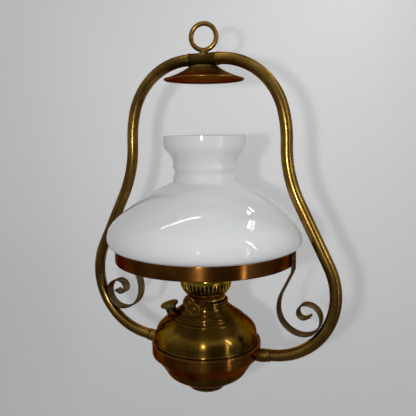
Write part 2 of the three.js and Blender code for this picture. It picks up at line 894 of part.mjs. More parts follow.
function burnerGallery() {
  const inner = galleryRadius - galleryWall;
  const ring = revolve([
    [galleryLedgeRadius, 0],
    [galleryRadius, 0],
    [galleryRadius, galleryHeight],
    [inner, galleryHeight],
    [inner, galleryWall],
    [galleryLedgeRadius, galleryWall],
  ], burnerSegments);
  const gapAngle = (2 * Math.PI) / galleryProngs;
  const prongAngle = galleryProngWidth / galleryRadius;
  const gaps = Array.from({ length: galleryProngs }, (_, i) => {
    const start = i * gapAngle + prongAngle / 2;
    const wedge = new THREE.Shape();
    wedge.moveTo(0, 0);
    for (let step = 0; step <= 4; step += 1) {
      const angle = start + ((gapAngle - prongAngle) * step) / 4;
      wedge.lineTo(2 * galleryRadius * Math.cos(angle), 2 * galleryRadius * Math.sin(angle));
    }
    return new THREE.ExtrudeGeometry(wedge, { depth: galleryHeight, bevelEnabled: false })
      .translate(0, 0, galleryBandHeight);
  });
  return cut(ring, ...gaps);
}

function flameCone() {
  const domeRadius = flameConeRadius - flameConeRim;
  const domeIn = (radius, height) => Array.from({ length: 4 }, (_, i) => {
    const angle = (i / 4) * quarterTurn;
    return [radius * Math.cos(angle), flameConeRim + (height - flameConeRim) * Math.sin(angle)];
  });
  const hollowRadius = domeRadius - flameConeWall;
  const hollowHeight = flameConeHeight - flameConeWall;
  const shell = revolve([
    [0, hollowHeight],
    ...domeIn(hollowRadius, hollowHeight).reverse(),
    [hollowRadius, 0],
    [flameConeRadius, 0],
    [flameConeRadius, flameConeRim],
    ...domeIn(domeRadius, flameConeHeight),
    [0, flameConeHeight],
  ], innerSegments);
  const slots = [-1, 1].map((side) => block(
    wickChannel,
    wickTubeWidth,
    2 * flameConeHeight,
    side * wickOffset,
    0,
    flameConeHeight,
  ));
  return cut(shell, ...slots);
}

function wickTube(side) {
  const height = wickTubeTop + wickTubeSink;
  const middle = (wickTubeTop - wickTubeSink) / 2;
  const body = block(wickTubeThickness, wickTubeWidth, height, 0, 0, middle);
  const channel = block(wickChannel, wickChannelWidth, height + overrun, 0, 0, middle);
  const windowDepth = spurWheelSpread + spurWheelWidth + 2 * runningGap;
  const windowHeight = 2 * (spurWheelRadius + runningGap) + windowDepth * Math.tan(spindleDroop);
  const wall = side * (wickTubeThickness / 2);
  const window = block(wickTubeThickness, windowDepth, windowHeight, wall, 0, spindleHeight);
  return cut(body, channel, window);
}

function wick() {
  return block(wickThickness, wickWidth, wickLength, 0, 0, -wickLength / 2);
}

// A winder's spindle with its two spur wheels, made about Z with the knob's end at zero.
function wickSpindle(reach) {
  const innerEnd = -(reach + spindleInnerReach);
  const bar = cylinder(spindleRadius, innerEnd, 0, pinSegments);
  const star = new THREE.Shape(Array.from({ length: 2 * spurTeeth }, (_, i) => {
    const radius = spurWheelRadius * (i % 2 === 0 ? 1 : spurWheelRootShare);
    const angle = (i / spurTeeth) * Math.PI;
    return new THREE.Vector2(radius * Math.cos(angle), radius * Math.sin(angle));
  }));
  const middle = -reach / Math.cos(spindleDroop);
  const wheels = [-1, 1].map((end) => {
    const wheel = new THREE.ExtrudeGeometry(star, { depth: spurWheelWidth, bevelEnabled: false });
    return wheel.translate(0, 0, middle + (end * spurWheelSpread - spurWheelWidth) / 2);
  });
  return join(bar, ...wheels);
}

function wickKnob() {
  const half = knobThickness / 2;
  const socket = spindleRadius + seatGap;
  return revolve([
    [0, -half + knobSocketDepth],
    [socket, -half + knobSocketDepth],
    [socket, -half],
    [knobRadius - knobRound, -half],
    [knobRadius, -half + knobRound],
    [knobRadius, half - knobRound],
    [knobRadius - knobRound, half],
    [knobDishRadius, half - knobDishDepth],
    [knobBossRadius, half - knobDishDepth],
    [knobDimpleRadius, half],
    [0, half - knobDimpleDepth],
  ], smallSegments);
}

function winderHousing() {
  const depth = housingFront;
  const top = housingHeight + seatGap;
  const height = top + housingLip;
  const body = block(housingWidth, depth, height, 0, depth / 2 - housingFront, top - height / 2);
  const behind = cylinder(baseRingRadius + seatGap, -2 * housingLip, baseHeight + seatGap, burnerSegments);
  const slope = (basketTopRadius - basketBottomRadius) / basketHeight;
  const coneEnd = top + overrun;
  const above = revolve([
    [0, baseHeight],
    [basketBottomRadius + seatGap, baseHeight],
    [basketBottomRadius + 2 * seatGap + slope * (coneEnd - baseHeight), coneEnd],
    [0, coneEnd],
  ], basketSlots);
  const collar = cylinder(collarRadius + looseGap, -2 * housingLip, 0, burnerSegments);
  return cut(body, behind, above, collar, spindleBore(-1), spindleBore(1));
}

function chimney() {
  const bulbShares = [[0, 0], [0, 0.07], [0.2, 0.13], [0.8, 0.18], [1, 0.23], [0.86, 0.3]];
  const swell = chimneyBulbRadius - chimneyBaseRadius;
  const lower = bulbShares.map(([out, up]) => [chimneyBaseRadius + swell * out, chimneyHeight * up]);
  const taper = chimneyBulbRadius - chimneyTopRadius;
  const taperShares = [[0.6, 0.4], [0.3, 0.52], [0.12, 0.66], [0.03, 0.82], [0, 1]];
  const upper = taperShares.map(([out, up]) => [chimneyTopRadius + taper * out, chimneyHeight * up]);
  const outline = pairsOf(smoothLine([...lower, ...upper]).getPoints(9));
  return revolve(wallOf(outline, chimneyWall), innerSegments);
}

function finish(color, roughness, metalness) {
  return new THREE.MeshStandardMaterial({ color, roughness, metalness });
}

const tubeBrass = finish(0x76592a, 0.38, 0.9);
const bellBrass = finish(0x74633f, 0.42, 0.85);
const copperBrass = finish(0x80502a, 0.32, 0.9);
const bronze = finish(0x4b3620, 0.45, 0.85);
const fontBrass = finish(0x7c6631, 0.3, 0.9);
const brightBrass = finish(0xb38f3c, 0.25, 0.95);
const knobBrass = finish(0x5b4018, 0.45, 0.85);
const opalGlass = finish(0xf1f1ef, 0.12, 0);
const clearGlass = finish(0xdfe8e6, 0.05, 0);
const cotton = finish(0xd8cfb8, 0.95, 0);
const leather = finish(0x5a3a22, 0.8, 0);

function piece(name, geometry, material) {
  const mesh = new THREE.Mesh(geometry, material);
  mesh.name = name;
  return mesh;
}

function groupAt(height, ...members) {
  const group = new THREE.Group();
  group.position.z = height;
  group.add(...members);
  return group;
}

// The right piece as it is made, and the left one turned half round the lamp's axis.
function bothSides(name, geometry, material) {
  const right = piece(`${name}_right`, geometry, material);
  const left = piece(`${name}_left`, geometry, material);
  left.rotation.z = Math.PI;
  return [left, right];
}

function raised(mesh, height) {
  mesh.position.z = height;
  return mesh;
}

function suspension() {
  return [
    piece('hanging_eye', hangingEye(), tubeBrass),
    raised(piece('top_sleeve', topSleeve(), tubeBrass), sleeveAxis),
    ...bothSides('harp_tube', harpTube(), tubeBrass),
    ...bothSides('ferrule', ferrule(), tubeBrass),
    raised(piece('smoke_bell', smokeBell(), bellBrass), bellTop),
    raised(piece('bell_nut', bellNut(), tubeBrass), nutTop - nutHeight),
    raised(piece('font_cradle', fontCradle(), copperBrass), cradleTop),
  ];
}

function shadeHolder() {
  const rivets = bothSides('bracket_rivet', bracketRivet().translate(0, 0, -rivetDrop), bronze);
  return groupAt(
    ringTop,
    piece('shade_ring', shadeRing(), copperBrass),
    ...bothSides('scroll_bracket', scrollBracket(), bronze),
    ...rivets,
    piece('shade', glassShade(), opalGlass),
  );
}

function filler() {
  const group = new THREE.Group();
  group.add(
    piece('filler_neck', fillerNeck(), fontBrass),
    raised(piece('filler_washer', fillerWasher(), leather), fillerRise + seatGap),
    raised(piece('filler_cap', fillerCap(), fontBrass), fillerRise + washerThickness + 2 * seatGap),
  );
  return placeOnFiller(group);
}

function winder(name, side, reach) {
  const spindle = piece(`wick_spindle_${name}`, wickSpindle(reach), brightBrass);
  const knob = piece(`wick_knob_${name}`, wickKnob(), knobBrass);
  knob.position.z = knobThickness / 2 - knobSocketDepth + seatGap;
  const group = new THREE.Group();
  group.add(spindle, knob);
  group.rotation.x = quarterTurn + spindleDroop;
  group.position.set((side * spindleSpacing) / 2, -reach, spindleHeight - reach * Math.tan(spindleDroop));
  return group;
}

function wickSet(name, side, reach) {
  const tube = piece(`wick_tube_${name}`, wickTube(side), brightBrass);
  tube.position.x = side * wickOffset;
  const strip = piece(`wick_${name}`, wick(), cotton);
  strip.position.set(side * wickOffset, 0, wickTopHeight);
  return [tube, strip, winder(name, side, reach)];
}

function burner() {
  return groupAt(
    burnerRest,
    piece('burner_base', burnerBase(), brightBrass),
    piece('winder_housing', winderHousing(), knobBrass),
    raised(piece('burner_basket', burnerBasket(), brightBrass), basketRest),
    raised(piece('burner_gallery', burnerGallery(), brightBrass), galleryRest),
    raised(piece('flame_cone', flameCone(), brightBrass), ledgeTop + seatGap),
    raised(piece('chimney', chimney(), clearGlass), ledgeTop + seatGap),
    ...wickSet('left', -1, knobReaches[0]),
    ...wickSet('right', 1, knobReaches[1]),
  );
}

function font() {
  return groupAt(
    fontRest,
    piece('font_upper_shell', fontUpperShell(), fontBrass),
    piece('font_lower_bowl', fontLowerBowl(), fontBrass),
    raised(piece('font_foot', fontFoot(), fontBrass), -bowlDepth - seatGap - footThickness),
    raised(piece('font_collar', fontCollar(), fontBrass), collarRest),
    filler(),
    burner(),
  );
}

const lamp = new THREE.Group();
lamp.add(...suspension(), shadeHolder(), font());

export default lamp;
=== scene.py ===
# %% [markdown]
# # A hanging library lamp
#
# This lesson dresses a brass oil lamp that hangs in a harp of bent tube. The solids come in from the
# CAD file with their joints, but they are cut with few faces. Each visible piece is made again here
# from the same sizes, finely divided, with the small radii, beads and wear that catch the light.

# %% Load the frame
import json
import math

import bmesh
import bpy
from mathutils import Matrix, Vector

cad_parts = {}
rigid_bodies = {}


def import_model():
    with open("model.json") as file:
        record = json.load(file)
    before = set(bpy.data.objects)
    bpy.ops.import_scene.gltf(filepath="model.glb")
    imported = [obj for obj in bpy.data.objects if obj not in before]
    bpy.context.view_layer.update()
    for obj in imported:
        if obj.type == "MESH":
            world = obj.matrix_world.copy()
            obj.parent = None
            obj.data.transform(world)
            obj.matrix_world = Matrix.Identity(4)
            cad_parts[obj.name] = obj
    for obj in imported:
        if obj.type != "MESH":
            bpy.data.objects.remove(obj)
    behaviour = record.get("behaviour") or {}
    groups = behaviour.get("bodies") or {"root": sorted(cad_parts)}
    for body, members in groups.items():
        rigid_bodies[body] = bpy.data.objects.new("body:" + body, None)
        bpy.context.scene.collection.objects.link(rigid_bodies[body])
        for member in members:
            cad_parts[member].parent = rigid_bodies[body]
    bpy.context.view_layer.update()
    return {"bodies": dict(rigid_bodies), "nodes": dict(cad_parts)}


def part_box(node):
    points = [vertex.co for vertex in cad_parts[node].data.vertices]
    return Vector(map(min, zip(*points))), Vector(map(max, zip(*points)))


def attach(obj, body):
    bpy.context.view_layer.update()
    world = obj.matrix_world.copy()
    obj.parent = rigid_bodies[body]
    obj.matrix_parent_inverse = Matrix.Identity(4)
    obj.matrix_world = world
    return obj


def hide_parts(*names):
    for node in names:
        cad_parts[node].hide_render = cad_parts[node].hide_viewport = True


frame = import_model()
MM = 0.001
QUARTER_TURN = math.pi / 2
for plain in bpy.data.materials:
    plain.name = "plain_" + plain.name
print("bodies:", ", ".join(frame["bodies"]))

# %% [markdown]
# ## Heights to work from
#
# The big pieces stand on one another, so a few heights place them all. They are read from the
# boxes of the CAD nodes in millimetres, and nothing has to be fitted by eye. Where one piece rests
# on another, the CAD model leaves a small seat gap between them, and so does this script.

# %% Read the heights
def lowest(node):
    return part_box(node)[0].z / MM


def highest(node):
    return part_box(node)[1].z / MM


SEAT = 0.3
EYE_INNER, EYE_WIRE = 14, 3.2
EYE_TURN = math.radians(13)
eye_centre = highest("hanging_eye") - EYE_INNER - 2 * EYE_WIRE
sleeve_axis = (lowest("top_sleeve") + highest("top_sleeve")) / 2
bell_top = highest("smoke_bell")
ring_top = highest("shade_ring")
cradle_top = highest("font_cradle")
font_rest = lowest("font_upper_shell")
collar_rest = lowest("font_collar")
burner_rest = highest("font_collar") + SEAT
basket_rest = lowest("burner_basket")
gallery_rest = lowest("burner_gallery")
ledge_top = lowest("chimney") - SEAT
print(f"eye {eye_centre:.1f}, ring {ring_top:.1f}, cradle {cradle_top:.1f}, burner {burner_rest:.1f} mm")

# %% [markdown]
# ## Outlines
#
# Spun and turned brass is drawn as an outline of radius and height. Corners are rounded with a small
# arc, because an edge with no radius catches no light and looks like paper. Two extra points stand
# just outside each arc, so that the smooth shading doesn't spread over the flat beside it. Most
# edges of this lamp have one of two radii, a fine one on thin sheet and a soft one on thicker work.

# %% Round the corners
ARC_STEP = math.radians(18)
SIDE_SHARE = 0.48
FINE, SOFT = 0.3, 0.5


def rounded(corners, closed=True):
    """Rounds the corners that carry a third number, their radius, as far as the sides allow."""
    made = []
    count = len(corners)
    for i, corner in enumerate(corners):
        here = Vector(corner[:2])
        radius = corner[2] if len(corner) > 2 else 0
        if radius == 0 or (not closed and i in (0, count - 1)):
            made.append(here)
            continue
        before = Vector(corners[i - 1][:2]) - here
        after = Vector(corners[(i + 1) % count][:2]) - here
        opening = before.angle(after) / 2
        reach = min(radius / math.tan(opening), before.length * SIDE_SHARE, after.length * SIDE_SHARE)
        radius = reach * math.tan(opening)
        start, end = here + before.normalized() * reach, here + after.normalized() * reach
        inwards = (before.normalized() + after.normalized()).normalized()
        centre = here + inwards * (radius / math.sin(opening))
        first, last = start - centre, end - centre
        turn = first.angle_signed(last)
        steps = max(2, round(abs(turn) / ARC_STEP))
        if before.length > 4 * reach:
            made.append(start + before.normalized() * reach * 0.5)
        made += [centre + Matrix.Rotation(-turn * step / steps, 2) @ first for step in range(steps + 1)]
        if after.length > 4 * reach:
            made.append(end + after.normalized() * reach * 0.5)
    return [(point.x, point.y) for point in made]


# %% Draw lines and walls
def smooth_line(points, steps=8):
    """A smooth line through the points."""
    line = []
    for i in range(len(points) - 1):
        a, b, c, d = (Vector(points[min(max(i + k, 0), len(points) - 1)]) for k in (-1, 0, 1, 2))
        for step in range(steps):
            t = step / steps
            line.append(tuple(0.5 * (2 * b + (c - a) * t + (2 * a - 5 * b + 4 * c - d) * t * t
                                     + (3 * b - a - 3 * c + d) * t ** 3)))
    return line + [tuple(points[-1])]


def eased(line, passes):
    """The line with its curvature evened out, as blown glass has it. Its two ends stay."""
    points = [Vector(point) for point in line]
    for _ in range(passes):
        points[1:-1] = [(a + b + c) / 3 for a, b, c in zip(points, points[1:], points[2:])]
    return [tuple(point) for point in points]


def bow(start, control, end, steps=12):
    """A quadratic curve from start to end that leans towards its control point."""
    parts = [i / steps for i in range(steps + 1)]
    return [tuple((1 - t) ** 2 * s + 2 * t * (1 - t) * c + t * t * e for s, c, e in zip(start, control, end))
            for t in parts]


def arc(radius, height, size, first, last, steps=8):
    """An arc round a place, from the first to the last angle in degrees."""
    angles = [math.radians(first + (last - first) * i / steps) for i in range(steps + 1)]
    return [(radius + size * math.cos(a), height + size * math.sin(a)) for a in angles]


def beside(points, distance):
    """The line moved to its left by a distance."""
    line = [Vector(point) for point in points]
    moved = []
    for i, here in enumerate(line):
        arriving = (here - line[max(i - 1, 0)]).normalized()
        leaving = (line[min(i + 1, len(line) - 1)] - here).normalized()
        along = (arriving + leaving).normalized()
        bend = max(along.dot(leaving), along.dot(arriving), 0.5)
        moved.append(tuple(here + Vector((-along.y, along.x)) * (distance / bend)))
    return moved


LIP_SHARE = 0.45


def wall(points, thickness):
    """A wall of even thickness to the left of a line, with its two edges rounded."""
    inner = beside(points, thickness)[::-1]
    lip = thickness * LIP_SHARE
    ends = [(*points[-1], lip), (*inner[0], lip), (*inner[-1], lip), (*points[0], lip)]
    return rounded([ends[3], *points[1:-1], ends[0], ends[1], *inner[1:-1], ends[2]])


# %% [markdown]
# ## Turning
#
# A turned piece is its outline carried round the axis. The same helper stores two things that the
# finishes read later: a UV map that counts round and along the outline, and an attribute named edge,
# which is above zero on outer corners, where brass is rubbed bright, and below zero in grooves, where
# tarnish stays.

# %% Mark the corners
FULL_MARK = math.radians(70)


def corner_marks(outline, closed, window=1.0):
    """How sharply the outline turns at each point, within a window of so many millimetres."""
    line = [Vector(point) for point in outline]
    count = len(line)

    def walk(i, step):
        left, at = window, line[i]
        direction = Vector((0, 0))
        for _ in range(count):
            nxt = i + step
            if not closed and not 0 <= nxt < count:
                break
            part = line[nxt % count] - at
            length = part.length
            if length >= left:
                return direction + part.normalized() * left if length else direction
            direction, left, at, i = direction + part, left - length, line[nxt % count], nxt % count
        return direction

    marks = []
    for i in range(count):
        back, ahead = -walk(i, -1), walk(i, 1)
        turn = 0 if back.length == 0 or ahead.length == 0 else -back.angle_signed(ahead)
        marks.append(max(-1, min(1, turn / FULL_MARK)))
    return marks


# %% Turn a piece
SAME_PLACE = 1e-4
ON_AXIS = 1e-6


def turned(name, outline, sides, mark_window=1.0):
    """Turns an outline in millimetres round Z. It starts and ends on the axis, or closes on itself."""
    area = sum(a[0] * b[1] - b[0] * a[1] for a, b in zip(outline, outline[1:] + outline[:1]))
    if area < 0:
        outline = outline[::-1]
    outline = [point for i, point in enumerate(outline)
               if (Vector(point) - Vector(outline[i - 1])).length > SAME_PLACE]
    closed = not (outline[0][0] < ON_AXIS and outline[-1][0] < ON_AXIS)
    marks = corner_marks(outline, closed, mark_window)
    made = bmesh.new()
    edge = made.verts.layers.float.new("edge")
    uv = made.loops.layers.uv.new("UVMap")
    rows, lengths, length = [], [], 0
    for i, (radius, height) in enumerate(outline):
        if i:
            length += (Vector(outline[i]) - Vector(outline[i - 1])).length
        lengths.append(length * MM)
        spots = 1 if radius < ON_AXIS else sides
        reach, level = radius * MM, height * MM
        row = []
        for j in range(spots):
            angle = 2 * math.pi * j / sides + QUARTER_TURN
            vert = made.verts.new((reach * math.cos(angle), reach * math.sin(angle), level))
            vert[edge] = marks[i]
            row.append(vert)
        rows.append(row)
    lengths.append(length * MM + (Vector(outline[0]) - Vector(outline[-1])).length * MM)
    for i in range(len(rows) if closed else len(rows) - 1):
        low, high = rows[i], rows[(i + 1) % len(rows)]
        for j in range(sides):
            k = (j + 1) % sides
            corners = [(low, j, 0, 0), (low, k, 1, 0), (high, k, 1, 1), (high, j, 0, 1)]
            if len(low) == 1:
                corners = [corners[0], corners[2], corners[3]]
            elif len(high) == 1:
                corners = corners[:3]
            face = made.faces.new([row[n if len(row) > 1 else 0] for row, n, _, _ in corners])
            for loop, (_, _, around, up) in zip(face.loops, corners):
                loop[uv].uv = ((j + around) / sides, lengths[i + up])
    return as_object(name, made)


# %% Place a piece
SHARP_EDGE = math.radians(40)


def as_object(name, made, sharp=SHARP_EDGE):
    """Turns an edit mesh into a smooth shaded object, which keeps edges above an angle sharp."""
    mesh = bpy.data.meshes.new(name)
    made.to_mesh(mesh)
    made.free()
    mesh.polygons.foreach_set("use_smooth", [True] * len(mesh.polygons))
    mesh.set_sharp_from_angle(angle=sharp)
    return placed(name, mesh)


def placed(name, data):
    """A new object in the scene."""
    piece = bpy.data.objects.new(name, data)
    bpy.context.scene.collection.objects.link(piece)
    return piece


def moved(piece, *steps):
    """Moves the mesh itself, so that the object stays at the origin."""
    for step in steps:
        piece.data.transform(step)
    return piece


def up(height):
    return Matrix.Translation((0, 0, height * MM))


def at(x, y, z):
    return Matrix.Translation((x * MM, y * MM, z * MM))


def laid(heading):
    """Lays what was turned about Z along a heading in the plane of the harp."""
    return Matrix.Rotation(QUARTER_TURN - heading, 4, "Y")


# %% [markdown]
# ## Shader maths
#
# A finish is arithmetic on patterns. This small class wraps a socket, so that an expression such as
# 1 - mask * 0.4 adds its Math nodes by itself. Any other node comes from the writer's method node.

# %% Wrap a socket
class Signal:
    """A socket of a node tree that Python's operators work on."""

    def __init__(self, writer, socket):
        self.writer, self.socket = writer, socket

    def maths(self, operation, *values):
        return self.writer.node("Math", {"operation": operation}, dict(enumerate(values)))

    def __add__(self, other):
        return self.maths("ADD", self, other)

    def __mul__(self, other):
        return self.maths("MULTIPLY", self, other)

    def __sub__(self, other):
        return self.maths("SUBTRACT", self, other)

    def __rsub__(self, other):
        return self.maths("SUBTRACT", other, self)

    __radd__, __rmul__ = __add__, __mul__

    def between(self, low, high):
        """Zero below low, one above high, and a smooth rise from one to the other."""
        return self.writer.node("MapRange", {"interpolation_type": "SMOOTHSTEP"},
                                {"Value": self, "From Min": low, "From Max": high}, "Result")


class Writer:
    """Writes the shader nodes of a material or of the world."""

    def __init__(self, tree):
        self.tree = tree

    def node(self, kind, settings=None, inputs=None, output=0):
        made = self.tree.nodes.new("ShaderNode" + kind)
        for name, value in (settings or {}).items():
            setattr(made, name, value)
        for name, value in (inputs or {}).items():
            self.join(made.inputs[name], value)
        return Signal(self, made.outputs[output])

    def join(self, slot, value):
        if isinstance(value, Signal):
            self.tree.links.new(value.socket, slot)
        else:
            slot.default_value = value


# %% Start a finish
class Finish(Writer):
    """A material that is being written, with a Principled BSDF at its end."""

    def __init__(self, name, **sockets):
        self.material = bpy.data.materials.new(name)
        self.material.use_nodes = True
        super().__init__(self.material.node_tree)
        self.shader = self.tree.nodes["Principled BSDF"]
        self.set(**sockets)

    def place(self):
        return self.node("TexCoord", output="Object")

    def map(self):
        return self.node("TexCoord", output="UV")

    def mark(self, name):
        return self.node("Attribute", {"attribute_name": name}, output="Fac")

    def noise(self, where, scale, detail, roughness, stretch=None, distortion=0.0):
        if stretch:
            where = self.node("Mapping", inputs={"Vector": where, "Scale": stretch})
        return self.node("TexNoise", inputs={"Vector": where, "Scale": scale, "Detail": detail,
                                             "Roughness": roughness, "Distortion": distortion})

    def mix(self, share, first, second):
        """A blend of two colours."""
        colours = [(*value, 1) if isinstance(value, tuple) else value for value in (first, second)]
        return self.node("Mix", {"data_type": "RGBA"}, {0: share, 6: colours[0], 7: colours[1]}, 2)

    def bump(self, height, distance):
        return self.node("Bump", inputs={"Height": height, "Distance": distance})

    def set(self, **sockets):
        for socket, value in sockets.items():
            self.join(self.shader.inputs[socket.replace("_", " ")], value)
        return self.material


def rgb(code):
    """A colour that is written as six hex digits, made linear."""
    parts = [int(code[i:i + 2], 16) / 255 for i in (0, 2, 4)]
    return tuple(p / 12.92 if p <= 0.04045 else ((p + 0.055) / 1.055) ** 2.4 for p in parts)


# %% [markdown]
# ## Aged brass
#
# Every metal piece is brass of some age. The colour is a blend of a polished tone and a tarnished
# tone in soft clouds, a dark tone that gathers in the grooves, and a rubbed tone on the edges. Turned
# pieces keep fine rings from the lathe. They are a noise stretched along the UV map, and they go
# into the roughness and the bump. Rings too fine to see are left to the shader's own anisotropy: it
# draws each light out into an upright streak, as a brushed band does.

# %% Choose the marks of age
GRAIN, SPECKLE, DENT, STAIN = 160, 420, 30, 9
LATHE = (3.0, 2600, 1)
CLOUD_TONE, GRAIN_TONE, SPECK_TONE, GROOVE_TONE, EDGE_TONE, HEAT_TONE = 0.85, 0.5, 0.45, 0.8, 0.55, 0.75
GRAIN_GLOSS, LATHE_GLOSS, SPECK_GLOSS, GROOVE_GLOSS, EDGE_GLOSS = 0.06, 0.14, 0.1, 0.2, 0.05
LATHE_DEPTH, SPECK_DEPTH, RELIEF = 0.006, 0.002, 0.0006
COPPER_TINT = (0.4, 0.26, 0.12, 1)


# %% Write the brass finish
def aged_brass(name, polished, tarnished, dark, smooth, dull, rings, cloud=22, stain=0.5, dents=0.15,
               heat=None, brushed=0.0):
    """Brass in three tones. Its roughness goes from smooth to dull as the tarnish grows.

    Rings, dents and brushed say how much of each it has, cloud and stain how the tarnish lies. Heat
    is a tone that flame has given it, and between which distances from the axis the tone grows.
    """
    finish = Finish(name, Metallic=1.0, Specular_Tint=COPPER_TINT, Anisotropic=brushed,
                    Anisotropic_Rotation=0.25)
    where, along, edge = finish.place(), finish.map(), finish.mark("edge")
    clouds = finish.noise(where, scale=cloud, detail=5, roughness=0.6, distortion=0.4).between(0.36, 0.66)
    fine = finish.noise(where, scale=GRAIN, detail=6, roughness=0.65)
    specks = finish.noise(where, scale=SPECKLE, detail=3, roughness=0.6).between(0.62, 0.74)
    lathe = finish.noise(along, scale=1.0, detail=3, roughness=0.7, stretch=LATHE)
    rubbed = edge.between(0.12, 0.8)
    groove = (0 - edge).between(0.08, 0.7)
    colour = finish.mix(clouds * CLOUD_TONE + (fine - 0.5) * GRAIN_TONE, rgb(tarnished), rgb(polished))
    colour = finish.mix((specks * SPECK_TONE + groove * GROOVE_TONE) * (1 - rubbed), colour, rgb(dark))
    stained = finish.noise(where, scale=STAIN, detail=3, roughness=0.5).between(0.5, 0.7) * stain
    colour = finish.mix(stained, colour, rgb(dark))
    colour = finish.mix(rubbed * EDGE_TONE, colour, rgb(polished))
    if heat:
        inner, outer, tone = heat
        flat = finish.node("VectorMath", {"operation": "MULTIPLY"}, {0: where, 1: (1, 1, 0)})
        from_axis = finish.node("VectorMath", {"operation": "LENGTH"}, {0: flat}, output="Value")
        scorched = (from_axis + (fine - 0.5) * 0.004).between(inner * MM, outer * MM) * HEAT_TONE
        colour = finish.mix(scorched, colour, rgb(tone))
    gloss = smooth + (1 - clouds) * (dull - smooth)
    gloss = gloss + (fine - 0.5) * GRAIN_GLOSS + (lathe - 0.5) * (LATHE_GLOSS * rings)
    gloss = gloss + specks * SPECK_GLOSS + groove * GROOVE_GLOSS - rubbed * EDGE_GLOSS
    height = finish.noise(where, scale=DENT, detail=2, roughness=0.4) * dents + lathe * (LATHE_DEPTH * rings)
    height = height - specks * SPECK_DEPTH
    return finish.set(Base_Color=colour, Roughness=gloss, Normal=finish.bump(height, distance=RELIEF))


# %% Mix the finishes
BRUSHED = 0.85
tube_brass = aged_brass("tube_brass", "b08a44", "7a5c2a", "2a1f0e", 0.19, 0.31, rings=0.05, dents=0.05)
bell_brass = aged_brass("bell_brass", "8c7848", "645231", "2c200f", 0.24, 0.4, rings=0.6,
                        heat=(30, 50, "8a4a1e"))
copper_brass = aged_brass("copper_brass", "9c642b", "5c3614", "1e0e05", 0.2, 0.34, rings=1.0, cloud=14,
                          brushed=BRUSHED)
bronze = aged_brass("bronze", "83745f", "564939", "1c150e", 0.24, 0.42, rings=0.1)
font_brass = aged_brass("font_brass", "9a7630", "5f4817", "1e1506", 0.15, 0.27, rings=0.6, cloud=16,
                        brushed=BRUSHED)
filler_brass = aged_brass("filler_brass", "8d8258", "5f573c", "201c12", 0.3, 0.5, rings=0.2)
bright_brass = aged_brass("bright_brass", "e8c052", "bb9232", "33240d", 0.12, 0.26, rings=0.4, stain=0.2)
knob_brass = aged_brass("knob_brass", "a87c38", "6d4b1c", "201506", 0.28, 0.46, rings=0.3)
sooty_brass = aged_brass("sooty_brass", "2e2314", "1a130b", "0a0705", 0.5, 0.7, rings=0.2)
print("brass finishes:", ", ".join(m.name for m in bpy.data.materials if not m.name.startswith("plain_")))

# %% [markdown]
# ## Glass, cotton and leather
#
# The shade is opal glass, white through its whole thickness under a glossy skin. A little subsurface
# light keeps it from looking like plaster. The chimney is clear. The wicks are woven tape, and the
# filler's washer is a leather ring.

# %% Write the other finishes
def opal_finish():
    finish = Finish("opal_glass", Metallic=0.0, IOR=1.5, Subsurface_Weight=0.2, Subsurface_Scale=0.006)
    where = finish.place()
    milk = finish.noise(where, scale=14, detail=3, roughness=0.5)
    ripple = finish.noise(where, scale=18, detail=1, roughness=0.4) * 0.012
    cool, warm = (0.7, 0.705, 0.71), (0.74, 0.74, 0.735)
    colour = finish.mix(milk, cool, warm)
    return finish.set(Base_Color=colour, Roughness=0.03 + milk * 0.02,
                      Normal=finish.bump(ripple, distance=0.0005))


def clear_finish():
    finish = Finish("clear_glass", Metallic=0.0, IOR=1.5, Transmission_Weight=1.0)
    where = finish.place()
    greenish, clear = (0.93, 0.96, 0.95), (0.97, 0.99, 0.985)
    colour = finish.mix(finish.noise(where, scale=12, detail=2, roughness=0.5), greenish, clear)
    ripple = finish.noise(where, scale=40, detail=2, roughness=0.4) * 0.1
    smears = finish.noise(where, scale=60, detail=4, roughness=0.6)
    return finish.set(Base_Color=colour, Roughness=0.02 + smears * 0.04,
                      Normal=finish.bump(ripple, distance=0.0004))


def woven_finish():
    finish = Finish("cotton", Metallic=0.0, Sheen_Weight=0.3)
    where = finish.place()
    waves = [finish.node("TexWave", {"wave_type": "BANDS", "bands_direction": way},
                         {"Vector": where, "Scale": 260, "Distortion": 0.6}, output="Fac") for way in "YZ"]
    weave = waves[0] * waves[1]
    soot = finish.noise(where, scale=55, detail=4, roughness=0.6).between(0.45, 0.75)
    hollow, thread, black = (0.5, 0.46, 0.36), (0.78, 0.74, 0.64), (0.22, 0.18, 0.12)
    colour = finish.mix(soot * 0.35, finish.mix(weave, hollow, thread), black)
    return finish.set(Base_Color=colour, Roughness=0.9 + weave * 0.08,
                      Normal=finish.bump(weave, distance=0.0003))


def leather_finish():
    finish = Finish("leather", Metallic=0.0)
    where = finish.place()
    pores = finish.node("TexVoronoi", {"feature": "F1"}, {"Vector": where, "Scale": 900}, output="Distance")
    creased, worn = (0.07, 0.035, 0.018), (0.16, 0.085, 0.045)
    colour = finish.mix(finish.noise(where, scale=90, detail=5, roughness=0.6), creased, worn)
    return finish.set(Base_Color=colour, Roughness=0.6 + pores * 0.3,
                      Normal=finish.bump(pores, distance=0.0002))


opal_glass = opal_finish()
clear_glass = clear_finish()
cotton = woven_finish()
leather = leather_finish()

# %% [markdown]
# ## Dressing
#
# A finished piece is told three things: its material, the body that it moves with, and the CAD
# nodes that it stands for, which are hidden. The lamp's two sides are alike, so what is made for the
# right side is copied to the left.

# %% Dress a piece
def dress(piece, body, material, *nodes, slot=None):
    piece.data.materials.clear()
    piece.data.materials.append(material)
    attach(piece, body)
    if nodes:
        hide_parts(*nodes)
    return piece


def keep(node, material):
    """Gives a finish to a CAD node that stays as it is."""
    solid = frame["nodes"][node]
    solid.data.materials.clear()
    solid.data.materials.append(material)


HALF_TURN = Matrix.Rotation(math.pi, 4, "Z")


